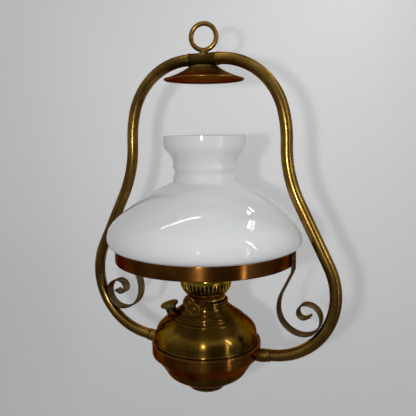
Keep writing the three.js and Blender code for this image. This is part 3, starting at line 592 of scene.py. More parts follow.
def dress_both(right, node, material):
    """Dresses a piece on the right, and its copy on the left, which is turned half round."""
    left = moved(placed(f"{node}_left_fine", right.data.copy()), HALF_TURN)
    dress(right, "frame", material, f"{node}_right")
    dress(left, "frame", material, f"{node}_left")


# %% [markdown]
# ## Geometry Nodes from a short recipe
#
# The trees below all start with an input for the geometry and end in Realize Instances and Set
# Material. This helper writes that frame round the middle part, gives every size a named input, and
# turns the result into a plain mesh.

# %% Grow a mesh from a tree
class Recipe:
    """A geometry tree with named inputs."""

    def __init__(self, name, **inputs):
        self.tree = bpy.data.node_groups.new(name, "GeometryNodeTree")
        face = self.tree.interface
        face.new_socket("Geometry", in_out="INPUT", socket_type="NodeSocketGeometry")
        face.new_socket("Geometry", in_out="OUTPUT", socket_type="NodeSocketGeometry")
        kinds = {int: "NodeSocketInt", float: "NodeSocketFloat"}
        for label, value in inputs.items():
            face.new_socket(label, in_out="INPUT", socket_type=kinds[type(value)]).default_value = value
        self.values = inputs
        self.start = self.tree.nodes.new("NodeGroupInput")
        self.end = self.tree.nodes.new("NodeGroupOutput")

    def input(self, name):
        return self.start.outputs[name]

    def node(self, kind, settings=None, inputs=None):
        made = self.tree.nodes.new(kind)
        for name, value in (settings or {}).items():
            setattr(made, name, value)
        for name, value in (inputs or {}).items():
            self.feed(made.inputs[name], value)
        return made.outputs

    def feed(self, slot, value):
        if isinstance(value, bpy.types.NodeSocket):
            self.tree.links.new(value, slot)
        else:
            slot.default_value = value

    def maths(self, operation, *values):
        made = self.node("ShaderNodeMath", {"operation": operation})[0]
        for slot, value in zip(made.node.inputs, values):
            self.feed(slot, value)
        return made

    def grow(self, name, geometry, source, material):
        """Ends the tree, runs it on a source object and keeps the result as a plain mesh."""
        smooth = self.node("GeometryNodeSetShadeSmooth", inputs={"Geometry": geometry})[0]
        real = self.node("GeometryNodeRealizeInstances", inputs={"Geometry": smooth})[0]
        last = self.node("GeometryNodeSetMaterial", inputs={"Geometry": real, "Material": material})[0]
        self.tree.links.new(last, self.end.inputs[0])
        step = source.modifiers.new(self.tree.name, "NODES")
        step.node_group = self.tree
        for item in self.tree.interface.items_tree:
            if item.in_out == "INPUT" and item.name in self.values:
                step[item.identifier] = self.values[item.name]
        seen = source.evaluated_get(bpy.context.evaluated_depsgraph_get())
        mesh = bpy.data.meshes.new_from_object(seen)
        mesh.set_sharp_from_angle(angle=SHARP_EDGE)
        bpy.data.objects.remove(source)
        print(f"{name}: {len(mesh.polygons)} faces")
        return placed(name, mesh)


def path_object(points):
    """A curve object through points in millimetres."""
    curve = bpy.data.curves.new("path", "CURVE")
    curve.dimensions = "3D"
    spline = curve.splines.new("POLY")
    spline.points.add(len(points) - 1)
    for spot, (x, y, z) in zip(spline.points, points):
        spot.co = (x * MM, y * MM, z * MM, 1)
    return placed("path", curve)


def swept(recipe, name, points, profile, material):
    """Carries a profile along a path, and marks how far along and how far round each face is."""
    as_float = {"data_type": "FLOAT", "domain": "POINT"}
    spline = recipe.node("GeometryNodeSplineParameter")
    path = recipe.node("GeometryNodeStoreNamedAttribute", as_float, {
        "Geometry": recipe.input("Geometry"), "Name": "along", "Value": spline["Length"]})[0]
    ring = recipe.node("GeometryNodeStoreNamedAttribute", as_float, {
        "Geometry": profile, "Name": "around", "Value": spline["Factor"]})[0]
    body = recipe.node("GeometryNodeCurveToMesh", inputs={
        "Curve": path, "Profile Curve": ring, "Fill Caps": True})[0]
    return recipe.grow(name, body, path_object(points), material)


# %% [markdown]
# ## A bent path
#
# A tube bender knows two moves, a straight and a bend of a given radius and angle. The harp and its
# brackets are written as such moves, with the same numbers as in the CAD file, but in finer steps.

# %% Walk a bent path
RUN_STEP, BEND_STEP = 6.0, math.radians(3)


class Bender:
    """Walks straights and bends in the plane of the harp, and remembers the points."""

    def __init__(self, x, z, heading):
        self.x, self.z, self.heading = x, z, heading
        self.points = [(x, 0, z)]

    def step(self, length, turn):
        self.x += math.cos(self.heading + turn / 2) * length
        self.z += math.sin(self.heading + turn / 2) * length
        self.heading += turn
        self.points.append((self.x, 0, self.z))

    def run(self, length):
        count = max(1, math.ceil(length / RUN_STEP))
        for _ in range(count):
            self.step(length / count, 0)

    def bend(self, radius, turn):
        count = max(1, math.ceil(abs(turn) / BEND_STEP))
        share = turn / count
        for _ in range(count):
            self.step(2 * radius * math.sin(abs(share) / 2), share)


# %% Set out the harp
SLEEVE_HALF = 22.5
TUBE_RADIUS = 7.95
TUBE_TAIL = 10
FERRULE_LENGTH = 18.0
CRADLE_RADIUS = 78.7
TOP_BEND, SHOULDER_BEND, HIP_BEND, BOW_RADIUS = 92, 160, 165, 91.9
SHOULDER_RUN = 5.6
droop, flare, crown = math.radians(8.75), math.radians(26.7), math.radians(75.3)
ferrule_mouth = CRADLE_RADIUS + SEAT + FERRULE_LENGTH * math.cos(droop)
bow_end = ferrule_mouth + (SEAT + TUBE_TAIL) * math.cos(droop)
bow_x = bow_end - BOW_RADIUS * math.sin(droop)

harp = Bender(SLEEVE_HALF + SEAT, sleeve_axis, 0)
harp.bend(TOP_BEND, -crown)
harp.bend(SHOULDER_BEND, crown - QUARTER_TURN)
harp.run(SHOULDER_RUN)
harp.bend(HIP_BEND, flare)
harp.run((bow_x + BOW_RADIUS * math.cos(flare) - harp.x) / math.sin(flare))
bow_z = harp.z - BOW_RADIUS * math.sin(flare)
harp.bend(BOW_RADIUS, droop - QUARTER_TURN - flare)
harp.run(TUBE_TAIL)
print(f"tube: {len(harp.points)} points, ends at {harp.x:.1f}, {harp.z:.1f} mm")

# %% [markdown]
# ## The harp
#
# Each half is one tube. A circle is carried along the path by Geometry Nodes.

# %% Bend the tubes
def tube_piece(name, points, material):
    recipe = Recipe("tube_along_a_path", Radius=TUBE_RADIUS * MM, Sides=40)
    circle = recipe.node("GeometryNodeCurvePrimitiveCircle", inputs={
        "Resolution": recipe.input("Sides"), "Radius": recipe.input("Radius")})[0]
    return swept(recipe, name, points, circle, material)


harp_right = tube_piece("harp_tube_right_fine", harp.points, tube_brass)
dress_both(harp_right, "harp_tube", tube_brass)

# %% [markdown]
# ## Eye, sleeve and bell
#
# The eye is a ring on a flared collar, and its threaded shank goes down through the sleeve and the
# bell to a nut. The sleeve is a short thick tube with a lip at each end. The bell is spun from thin
# sheet, and its edge is rolled over a wire. An outline's corner is written as its radius, its
# height and the size of its rounding.

# %% Make the eye and the sleeve
WIRE_SIDES = 48
eye_wire = arc(EYE_INNER + EYE_WIRE, 0, EYE_WIRE, 0, 360 - 360 / WIRE_SIDES, WIRE_SIDES - 1)
eye_ring = turned("eye_ring", eye_wire, sides=96)
upright = Matrix.Rotation(QUARTER_TURN, 4, "X")
moved(eye_ring, upright, Matrix.Rotation(EYE_TURN, 4, "Z"), up(eye_centre))
dress(eye_ring, "frame", tube_brass, "hanging_eye")

COLLAR_NECK, COLLAR_BEAD, COLLAR_FOOT = 5.2, 5.6, 7.4
FOOT_DEPTH = 6
collar_line = [
    (0, 3.4), (4.6, 3.0, 1.2), (COLLAR_BEAD, 1.4, SOFT), (COLLAR_NECK, 0.5, 0.4), (COLLAR_FOOT, -2.0, 1.0),
    (COLLAR_FOOT, -FOOT_DEPTH), (0, -FOOT_DEPTH),
]
eye_collar = turned("eye_collar", rounded(collar_line), sides=64)
dress(moved(eye_collar, up(eye_centre - EYE_INNER - 2 * EYE_WIRE)), "frame", tube_brass)

SLEEVE_RADIUS, LIP_RADIUS = 8.5, 9.1
LIP_START = 20.4
lip = [
    (SLEEVE_RADIUS, LIP_START - 0.3), (LIP_RADIUS, LIP_START, SOFT), (LIP_RADIUS, SLEEVE_HALF, SOFT),
    (0, SLEEVE_HALF),
]
sleeve_line = [(radius, -height, *soft) for radius, height, *soft in reversed(lip)] + lip
sleeve = turned("top_sleeve_fine", rounded(sleeve_line), sides=64)
dress(moved(sleeve, laid(0), up(sleeve_axis)), "frame", tube_brass, "top_sleeve")

# %% Spin the bell
BELL_RADIUS, BELL_DEPTH, BELL_SHEET, BELL_BEAD = 54.6, 18, 1.2, 1.3
CROWN_RADIUS, CROWN_DROP = 20.3, 1.6
BELL_HOLE = 3.5
bell_edge = BELL_RADIUS - BELL_BEAD
crown_edge = (CROWN_RADIUS, -CROWN_DROP)
bell_lean = (CROWN_RADIUS + (bell_edge - CROWN_RADIUS) * 0.37,
             -CROWN_DROP - (BELL_DEPTH - CROWN_DROP) * 0.53)
bell_slope = bow((bell_edge, BELL_BEAD - BELL_DEPTH), bell_lean, crown_edge)
bell_outside = [*bell_slope[:-1], *bow(crown_edge, (19.5, -0.1), (18.2, 0), 4), (BELL_HOLE, 0)]
bell_shell = beside(bell_outside, BELL_SHEET)[::-1]
bell_line = [*bell_outside, *bell_shell, *arc(bell_edge, -BELL_DEPTH, BELL_BEAD, 200, 440, 14)]
bell = turned("smoke_bell_fine", bell_line, sides=160)
dress(moved(bell, up(bell_top)), "frame", bell_brass, "smoke_bell")

# %% Fasten the bell
NUT_RADIUS, NUT_HEIGHT, NUT_EDGE = 8, 6, 0.5
SHANK_RADIUS, SHANK_LENGTH = 3.2, 8.0
TUCK = 0.2


def hexagon_nut():
    """A six sided nut with rounded corners, made as a bevelled prism."""
    made = bmesh.new()
    radius = NUT_RADIUS * MM
    bmesh.ops.create_cone(made, cap_ends=True, segments=6, radius1=radius, radius2=radius,
                          depth=NUT_HEIGHT * MM)
    bmesh.ops.bevel(made, geom=made.edges[:], offset=NUT_EDGE * MM, segments=3, affect="EDGES")
    return as_object("bell_nut_fine", made, math.radians(50))


nut_top = bell_top - BELL_SHEET - SEAT
dress(moved(hexagon_nut(), up(nut_top - NUT_HEIGHT / 2)), "frame", tube_brass, "bell_nut")
shank_line = [(0, -SHANK_LENGTH), (SHANK_RADIUS, -SHANK_LENGTH, 0.6), (SHANK_RADIUS, -TUCK), (0, -TUCK)]
shank_end = turned("shank_end", rounded(shank_line), sides=32)
dress(moved(shank_end, up(nut_top)), "frame", tube_brass)

# %% [markdown]
# ## Ferrules
#
# A ferrule is a casting that plugs into the tube's end and is brazed to the font's cradle. It starts
# with a bead, then a groove, and swells a little before it meets the band.

# %% Cast the ferrules
MOUTH, GROOVE, BEAD = 7.9, 7.4, 1.2
ferrule_end = FERRULE_LENGTH + BEAD
swell = smooth_line([(8.75, 4.2), (9.3, 10), (8.9, 16), (8.6, ferrule_end)], 6)
ferrule_line = [
    (0, 0), (MOUTH, 0, FINE), *arc(MOUTH, BEAD, BEAD, -70, 70), (GROOVE, 2.5, FINE), (GROOVE, 3.3, FINE),
    (8.6, 3.5, 0.4), *swell, (0, ferrule_end),
]
ferrule_place = at(harp.x + SEAT * math.cos(harp.heading), 0, harp.z + SEAT * math.sin(harp.heading))
ferrule_right = turned("ferrule_right_fine", rounded(ferrule_line), sides=64)
moved(ferrule_right, laid(harp.heading), ferrule_place)
dress_both(ferrule_right, "ferrule", tube_brass)

# %% [markdown]
# ## The cradle
#
# The cradle is spun from sheet: an upright band, a cove under it and a narrow lip at the bottom.

# %% Spin the cradle
CRADLE_LIP, CRADLE_HEIGHT, BAND_HEIGHT, CRADLE_SHEET = 63.6, 35, 16.6, 1.5
COVE_WAIST, BAND_CORNER = 69.2, 1.4
cove_end = (CRADLE_RADIUS - BAND_CORNER, -BAND_HEIGHT)
cove = bow((CRADLE_LIP, BAND_CORNER - CRADLE_HEIGHT),
           (COVE_WAIST, -BAND_HEIGHT - (CRADLE_HEIGHT - BAND_HEIGHT) * 0.47), cove_end)
cradle_outside = [
    (CRADLE_LIP, -CRADLE_HEIGHT), *cove[:-1],
    *bow(cove_end, (CRADLE_RADIUS, 0.1 - BAND_HEIGHT), (CRADLE_RADIUS, 1.6 - BAND_HEIGHT), 4),
    (CRADLE_RADIUS, -8), (CRADLE_RADIUS, 0),
]
cradle = turned("font_cradle_fine", wall(cradle_outside, CRADLE_SHEET), sides=160)
dress(moved(cradle, up(cradle_top)), "frame", copper_brass, "font_cradle")

# %% [markdown]
# ## Scroll brackets and the shade ring
#
# Each bracket is a flat strip. From the rivets on the ring it hangs straight, swings in a long double
# bend, and then curls up in a scroll of ever smaller bends, whose big loop is brazed to the tube. A
# rounded rectangle is carried along that path.

# %% Bend there and back
def add_reverse(path, drop, inset, first, second):
    """Two opposite bends that carry the path sideways by an inset on its way down."""
    across = abs(inset)
    wanted = first + second
    radii = min(wanted, (drop ** 2 + across ** 2) / (2 * across))
    straight = math.sqrt(max(drop ** 2 + across ** 2 - 2 * radii * across, 0))
    turn = math.atan2(radii * drop + straight * (across - radii), straight * drop - radii * (across - radii))
    turn = math.copysign(turn, inset)
    path.bend(first * radii / wanted, -turn)
    if straight > 0.01:
        path.run(straight)
    path.bend(second * radii / wanted, turn)


# %% Set out the strip
STRIP, STRIP_WIDTH, STRIP_EDGE = 2.3, 16.0, 0.55
RING_RADIUS = 127
STRAP_LENGTH, TAIL_LENGTH = 21, 6
REVERSE_RADII = 18, 50
SWING_RADIUS, LOOP_RADIUS, TIP_RADIUS = 34, 24, 8
CURL_RADII = 19, 12
strap_x = RING_RADIUS + SEAT + STRIP / 2
loop_offset = BOW_RADIUS - TUBE_RADIUS - SEAT - LOOP_RADIUS - STRIP / 2
contact = math.radians(31.6)
loop_x, loop_z = bow_x + loop_offset * math.cos(contact), bow_z - loop_offset * math.sin(contact)
bracket_drop = ring_top - (loop_z - LOOP_RADIUS + SWING_RADIUS) - STRAP_LENGTH
strip_path = Bender(strap_x, ring_top, -QUARTER_TURN)
strip_path.run(STRAP_LENGTH)
add_reverse(strip_path, bracket_drop, strap_x - (loop_x - SWING_RADIUS), *REVERSE_RADII)
for scroll_radius in (SWING_RADIUS, LOOP_RADIUS, *CURL_RADII):
    strip_path.bend(scroll_radius, QUARTER_TURN)
strip_path.bend(TIP_RADIUS, math.radians(120))
strip_path.run(TAIL_LENGTH)
print(f"strip: {len(strip_path.points)} points")

# %% Curl the brackets
def strip_piece(name, points, material):
    recipe = Recipe("strip_along_a_path", Width=STRIP_WIDTH * MM, Thickness=STRIP * MM, Edge=STRIP_EDGE * MM)
    sheet = recipe.node("GeometryNodeCurvePrimitiveQuadrilateral", inputs={
        "Width": recipe.input("Thickness"), "Height": recipe.input("Width")})[0]
    soft = recipe.node("GeometryNodeFilletCurve", {"mode": "POLY"}, {
        "Curve": sheet, "Count": 5, "Radius": recipe.input("Edge")})[0]
    return swept(recipe, name, points, soft, material)


bracket_right = strip_piece("scroll_bracket_right_fine", strip_path.points, bronze)
heights = [vertex.co.z / MM for vertex in bracket_right.data.vertices]
print(f"bracket: {max(heights) - min(heights):.1f} mm high")
dress_both(bracket_right, "scroll_bracket", bronze)

# %% Spin the shade ring
RING_HEIGHT, RING_SHEET, LEDGE_RADIUS = 18.9, 1.4, 117.5
ring_inside, ledge = RING_RADIUS - RING_SHEET, RING_SHEET - RING_HEIGHT
ring_line = [
    (LEDGE_RADIUS, -RING_HEIGHT, SOFT), (RING_RADIUS, -RING_HEIGHT, 1.2), (RING_RADIUS, 0, 0.6),
    (ring_inside, 0, 0.6), (ring_inside, ledge, 0.4), (LEDGE_RADIUS, ledge, SOFT),
]
shade_ring = turned("shade_ring_fine", rounded(ring_line), sides=192)
dress(moved(shade_ring, up(ring_top)), "frame", copper_brass, "shade_ring")

# %% Set the rivets
RIVET_RADIUS, RIVET_DROP, RIVET_FLATNESS = 3.6, 8, 0.48


def rivet_heads():
    """Two domed heads on the straps, set by Geometry Nodes on two points."""
    recipe = Recipe("heads_on_points", Head=RIVET_RADIUS * MM, Sides=24)
    dome = recipe.node("GeometryNodeMeshUVSphere", inputs={
        "Segments": recipe.input("Sides"), "Rings": 12, "Radius": recipe.input("Head")})[0]
    flat = recipe.node("GeometryNodeTransform", inputs={
        "Geometry": dome, "Scale": (RIVET_FLATNESS, 1, 1)})[0]
    heads = recipe.node("GeometryNodeInstanceOnPoints", inputs={
        "Points": recipe.input("Geometry"), "Instance": flat})[0]
    mesh = bpy.data.meshes.new("spots")
    reach, height = (strap_x + STRIP / 2) * MM, (ring_top - RIVET_DROP) * MM
    mesh.from_pydata([(reach, 0, height), (-reach, 0, height)], [], [])
    return recipe.grow("bracket_rivet_heads", heads, placed("spots", mesh), bronze)


dress(rivet_heads(), "frame", bronze, "bracket_rivet_left", "bracket_rivet_right")

# %% [markdown]
# ## The shade
#
# The shade is blown into a mould. Its dome stands on the ring's ledge, the neck has a shallow groove
# where the mould closes, and the rim flares and is ground and fire polished.

# %% Blow the shade
SHADE_FOOT, SHADE_WIDEST, SHADE_NECK = 124.3, 137.9, 44.2
DOME_HEIGHT, NECK_HEIGHT, NECK_FLARE = 90, 63, 13.0
SHADE_GLASS = 3.0
body_shares = [
    (0.855, 0.006), (0.93, 0.016), (0.985, 0.085), (1, 0.178), (0.964, 0.311), (0.856, 0.444),
    (0.692, 0.578), (0.509, 0.711), (0.302, 0.844), (0.132, 0.933), (0.024, 0.981),
]
neck_shares = [
    (0, 0), (0, 0.1), (-0.17, 0.2), (0, 0.31), (-0.04, 0.42), (0.1, 0.5), (0.42, 0.6), (0.78, 0.69),
    (0.95, 0.77), (1, 0.87), (1, 1),
]
shade_body = [(SHADE_NECK + (SHADE_WIDEST - SHADE_NECK) * a, DOME_HEIGHT * u) for a, u in body_shares]
shade_neck = [(SHADE_NECK + NECK_FLARE * a, DOME_HEIGHT + NECK_HEIGHT * u) for a, u in neck_shares]
shade_outside = [
    (SHADE_FOOT, ledge + SEAT), (SHADE_FOOT - 0.1, -8.0), *eased(smooth_line(shade_body), 24),
    *smooth_line(shade_neck),
]
shade = turned("shade_fine", wall(shade_outside, SHADE_GLASS), sides=192)
dress(moved(shade, up(ring_top)), "shade_body", opal_glass, "shade")

# %% [markdown]
# ## The font
#
# The oil font is two spun halves. The upper one is a dome with half round ridges, and its flange
# rests on the cradle's band. The lower one hangs in the cradle and stands on a small disc.

# %% Spin the font's upper shell
FONT_SHEET = 1.1
FLANGE_RADIUS, FLANGE = 78.2, 0.9
SHELL_RADIUS, SHELL_TOP, SHELL_HEIGHT, FONT_MOUTH = 73.2, 33, 53.5, 25.5
RIDGE, RIDGE_SHARES = 0.9, [0.57, 0.675, 0.74, 0.87]
RIDGE_CLEARANCE = 1.3
shoulder_shares = [
    (1, 0.13), (0.988, 0.271), (0.935, 0.383), (0.816, 0.49), (0.622, 0.607), (0.413, 0.72), (0.206, 0.832),
    (0.037, 0.953), (0, 1),
]
shoulder = smooth_line([(SHELL_TOP + (SHELL_RADIUS - SHELL_TOP) * a, SHELL_HEIGHT * u)
                        for a, u in shoulder_shares], 10)


def ridged(line, shares, size):
    """The line with half round ridges standing on it at shares of its length."""
    spots = [Vector(point) for point in line]
    lengths = [0.0]
    for a, b in zip(spots, spots[1:]):
        lengths.append(lengths[-1] + (b - a).length)
    made, ridges, clear_from = [], [share * lengths[-1] for share in shares], 0
    for i, (spot, length) in enumerate(zip(spots, lengths)):
        while ridges and ridges[0] <= length:
            ridge = ridges.pop(0)
            along = (spots[i] - spots[i - 1]).normalized()
            middle = spots[i - 1] + along * (ridge - lengths[i - 1])
            facing = math.degrees(math.atan2(along.y, along.x))
            while made and (Vector(made[-1]) - middle).length < size * RIDGE_CLEARANCE:
                made.pop()
            made += arc(middle.x, middle.y, size, facing - 180, facing)
            clear_from = ridge + size * RIDGE_CLEARANCE
        if length >= clear_from:
            made.append(tuple(spot))
    return made


shell_outside = [
    (SHELL_RADIUS - FONT_SHEET, 0), (FLANGE_RADIUS, 0, FINE), (FLANGE_RADIUS, FLANGE, FINE),
    (SHELL_RADIUS + 0.4, FLANGE), *arc(SHELL_RADIUS, 2.0, FONT_SHEET, -60, 70, 6),
    *ridged(shoulder, RIDGE_SHARES, RIDGE), (FONT_MOUTH, SHELL_HEIGHT),
]
shell_inside = beside([*shoulder, (FONT_MOUTH, SHELL_HEIGHT)], FONT_SHEET)[::-1]
shell = turned("font_upper_shell_fine", [*rounded(shell_outside, False), *shell_inside], sides=160)
dress(moved(shell, up(font_rest)), "font", font_brass, "font_upper_shell")

# %% Spin the bowl, the foot and the collar
BOWL_GAP = 0.6
BOWL_FLOOR, BOWL_DEPTH, BOWL_RADIUS, BOWL_TOP = 24, 66, 71.8, 6.5
cove_gap = CRADLE_SHEET + BOWL_GAP
belly_width, belly_height = CRADLE_LIP - cove_gap - BOWL_FLOOR, BOWL_DEPTH - CRADLE_HEIGHT
belly = [(BOWL_FLOOR + belly_width * a, belly_height * u - BOWL_DEPTH)
         for a, u in ((0.13, 0.1), (0.61, 0.42), (0.89, 0.68), (1, 1))]
beside_cove = beside([(CRADLE_LIP, -CRADLE_HEIGHT), *cove], cove_gap)[1:]
in_cove = [point for point in beside_cove if point[0] < BOWL_RADIUS]
bowl_outside = [
    (BOWL_FLOOR, -BOWL_DEPTH), *smooth_line(belly, 6), *in_cove, (BOWL_RADIUS, -BAND_HEIGHT),
    (BOWL_RADIUS, BOWL_TOP),
]
bowl_inside = beside(bowl_outside, FONT_SHEET)[::-1]
bowl_line = [(0, -BOWL_DEPTH), *bowl_outside, *bowl_inside, (0, FONT_SHEET - BOWL_DEPTH)]
bowl = turned("font_lower_bowl_fine", bowl_line, sides=128)
dress(moved(bowl, up(font_rest)), "font", font_brass, "font_lower_bowl")

FOOT_RADIUS, FOOT_HEIGHT = 26.5, 3.2
foot_line = rounded([(0, 0), (FOOT_RADIUS, 0, 1.2), (FOOT_RADIUS, FOOT_HEIGHT, 0.4), (0, FOOT_HEIGHT)])
foot = turned("font_foot_fine", foot_line, sides=96)
dress(moved(foot, up(lowest("font_foot"))), "font", font_brass, "font_foot")

COLLAR_RADIUS, COLLAR_HEIGHT = 31.6, 8.4
collar_outline = rounded([
    (FONT_MOUTH, 0, FINE), (COLLAR_RADIUS, 0, FINE), (COLLAR_RADIUS, COLLAR_HEIGHT, 1.5),
    (FONT_MOUTH, COLLAR_HEIGHT, 0.4),
])
collar = turned("font_collar_fine", collar_outline, sides=96)
dress(moved(collar, up(collar_rest)), "font", font_brass, "font_collar")

# %% [markdown]
# ## The filler
#
# The filler is a short neck on the shoulder of the font, tilted outwards, with a leather washer and a
# screw cap. Its three pieces are turned about Z and then stood on the neck's axis.

# %% Turn the filler
bearing, tilt, filler_reach = math.radians(67), math.radians(17), 49.0
outer = next(i for i, point in enumerate(shoulder) if point[0] <= filler_reach)
(r0, h0), (r1, h1) = shoulder[outer - 1], shoulder[outer]
filler_height = font_rest + h0 + (h1 - h0) * (filler_reach - r0) / (r1 - r0)
on_filler = (at(-filler_reach * math.sin(bearing), -filler_reach * math.cos(bearing), filler_height)
             @ Matrix.Rotation(-bearing, 4, "Z") @ Matrix.Rotation(tilt, 4, "X"))
NECK_BORE, NECK_RADIUS, NECK_LIP, NECK_TOP, LIP_HEIGHT = 6.3, 7.5, 8.7, 10.6, 1.6
WASHER_BORE, WASHER_RADIUS, WASHER = 6.6, 10, 1.2
CAP_RADIUS, CAP_HEIGHT = 13, 3.6
lip_foot = NECK_TOP - LIP_HEIGHT
neck_line = [
    (NECK_BORE, -5), (NECK_RADIUS, -5), (NECK_RADIUS, lip_foot, FINE), (NECK_LIP, lip_foot, FINE),
    (NECK_LIP, NECK_TOP, FINE), (NECK_BORE, NECK_TOP, FINE),
]
washer_line = [(WASHER_BORE, 0, 0.2), (WASHER_RADIUS, 0, FINE), (WASHER_RADIUS, WASHER, FINE),
               (WASHER_BORE, WASHER, 0.2)]
cap_line = [(0, 0), (5.7, 0), (CAP_RADIUS, 0, FINE), (CAP_RADIUS, CAP_HEIGHT, 0.9), (0, CAP_HEIGHT)]
washer_rest = NECK_TOP + SEAT
cap_rest = washer_rest + WASHER + SEAT
neck = turned("filler_neck_fine", rounded(neck_line), sides=48)
washer = turned("filler_washer_fine", rounded(washer_line), sides=48)
cap = turned("filler_cap_fine", rounded(cap_line), sides=64)
dress(moved(neck, on_filler), "font", font_brass, "filler_neck")
dress(moved(washer, up(washer_rest), on_filler), "cap", leather, "filler_washer")
dress(moved(cap, up(cap_rest), on_filler), "cap", filler_brass, "filler_cap", slot="font_brass")

# %% [markdown]
# ## The burner
#
# The burner's base is a plate with a bright ring over a skirt that drops into the collar. Above it
# stands the slotted basket, a bowl of forty ribs between a plain band below and a wide one above.
# One rib is made from a listed section, and Geometry Nodes sets its copies round the axis.

# %% Turn the burner's base
SKIRT_RADIUS, SKIRT_SHEET, SKIRT_DEPTH = 24.9, 1, 8
BASE_BEAD_CENTRE, BASE_BEAD, PLATE = 26.3, 1.5, 1
skirt_inside = SKIRT_RADIUS - SKIRT_SHEET
base_line = [
    (0, 0), (skirt_inside, 0), (skirt_inside, -SKIRT_DEPTH), (SKIRT_RADIUS, -SKIRT_DEPTH), (SKIRT_RADIUS, 0),
    (26, 0.2), *arc(BASE_BEAD_CENTRE, 2.0, BASE_BEAD, -75, 75, 12), (26.4, 3.5), (25.3, 3.5), (25.3, PLATE),
    (0, PLATE),
]
burner_base = turned("burner_base_fine", base_line, sides=96)
dress(moved(burner_base, up(burner_rest)), "burner", bright_brass, "burner_base")

# %% Set out the basket
RIBS, RIB_ROWS = 40, 12
RIB_SHARE, RIB_OVERLAP, RIB_MARK = 0.5, 0.4, 0.7
BAND_ROWS = 10
SLOT_FOOT, SLOT_HEAD, BASKET_HEAD = 6.8, 22.6, 25.9
BASKET_SHEET = 1.0
basket_side = smooth_line([
    (26.3, 0), (27.2, 2.4), (29.9, 6.2), (33.3, 10.9), (35.5, 15.5), (36.4, 20), (36.6, 26),
])


def basket_place(height):
    """Where the bowl's side is at a height, and which way it faces there."""
    for (r0, h0), (r1, h1) in zip(basket_side, basket_side[1:]):
        if h1 >= height:
            break
    share = (height - h0) / (h1 - h0)
    return Vector((r0 + (r1 - r0) * share, height)), Vector((h1 - h0, r0 - r1)).normalized()


def basket_band(name, low, high, *rolled):
    """A plain band of the bowl, with a rolled edge if its points are given."""
    line = [tuple(basket_place(low + (high - low) * i / BAND_ROWS)[0]) for i in range(BAND_ROWS + 1)]
    return moved(turned(name, wall([*line, *rolled], BASKET_SHEET), sides=144), up(basket_rest))


# %% Press one rib
def skinned(made, rows):
    """Closes rows of corners into a solid bar, with its faces outwards."""
    count = len(rows[0])
    for a, b in zip(rows, rows[1:]):
        for k in range(count):
            n = (k + 1) % count
            made.faces.new([a[k], a[n], b[n], b[k]])
    made.faces.new(rows[0][::-1])
    made.faces.new(rows[-1])
    bmesh.ops.recalc_face_normals(made, faces=made.faces[:])


def rib_mesh():
    """One rib: a strip that follows the bowl, slightly hollow on its outer face, with rounded edges."""
    made = bmesh.new()
    edge = made.verts.layers.float.new("edge")
    rows = []
    length = SLOT_HEAD - SLOT_FOOT + 2 * RIB_OVERLAP
    for i in range(RIB_ROWS + 1):
        place, facing = basket_place(SLOT_FOOT - RIB_OVERLAP + length * i / RIB_ROWS)
        half = math.pi * place.x / RIBS * RIB_SHARE
        right = [(0.45, 0.22), (0.86, 0.16), (1, -0.4), (0.8, -BASKET_SHEET)]
        left = [(-across, out) for across, out in right[2::-1]]
        row = []
        for across, out in [*left, (0, 0.24), *right, (-0.8, -BASKET_SHEET)]:
            spot = place + facing * out
            vert = made.verts.new((across * half * MM, -spot.x * MM, spot.y * MM))
            vert[edge] = RIB_MARK if out > 0 else 0
            row.append(vert)
        rows.append(row)
    skinned(made, rows)
    return as_object("rib", made)


# %% Set the ribs round the axis
def round_the_axis(name, piece, count, material, turn=0.0):
    """Sets copies of a piece evenly round the lamp's axis."""
    recipe = Recipe("copies_round_an_axis", Count=count, Start=turn)
    spots = recipe.node("GeometryNodeMeshLine", {"mode": "OFFSET"}, {
        "Count": recipe.input("Count"), "Offset": (0, 0, 0)})[0]
    index = recipe.node("GeometryNodeInputIndex")[0]
    share = recipe.maths("DIVIDE", index, recipe.input("Count"))
    angle = recipe.maths("MULTIPLY_ADD", share, 2 * math.pi, recipe.input("Start"))
    spin = recipe.node("ShaderNodeCombineXYZ", inputs={"Z": angle})[0]
    copies = recipe.node("GeometryNodeInstanceOnPoints", inputs={
        "Points": spots, "Instance": recipe.input("Geometry"), "Rotation": spin})[0]
    return recipe.grow(name, copies, piece, material)


basket_ribs = round_the_axis("basket_ribs", rib_mesh(), RIBS, bright_brass, math.pi / RIBS)
dress(moved(basket_ribs, up(basket_rest)), "burner", bright_brass, "burner_basket")
dress(basket_band("basket_foot", 0, SLOT_FOOT), "burner", bright_brass)
rolled_edge = [(36.9, 26.6), (37.0, 27.3), (36.6, 27.8)]
dress(basket_band("basket_head", SLOT_HEAD, BASKET_HEAD, *rolled_edge), "burner", bright_brass)

# %% [markdown]
# ## The gallery, the cone and the wicks
#
# The gallery stands inside the basket's head: a band, dull with soot, with six springy prongs that
# hold the chimney. Inside it, the flame cone has two long slots for the wick tubes.

# %% Raise the gallery
GALLERY_RADIUS, GALLERY_SHEET, GALLERY_HEIGHT, GALLERY_BORE = 34.2, 0.9, 14, 26
gallery_inside = GALLERY_RADIUS - GALLERY_SHEET
gallery_line = [
    (GALLERY_BORE, 0), (32.2, 0, SOFT), (GALLERY_RADIUS, 4, 1), (GALLERY_RADIUS, GALLERY_HEIGHT, FINE),
    (gallery_inside, GALLERY_HEIGHT, FINE), (gallery_inside, 4.4, 1), (31.8, GALLERY_SHEET),
    (GALLERY_BORE, GALLERY_SHEET),
]
gallery = moved(turned("burner_gallery_fine", rounded(gallery_line), sides=96), up(gallery_rest))
dress(gallery, "burner", sooty_brass, "burner_gallery", slot="bright_brass")

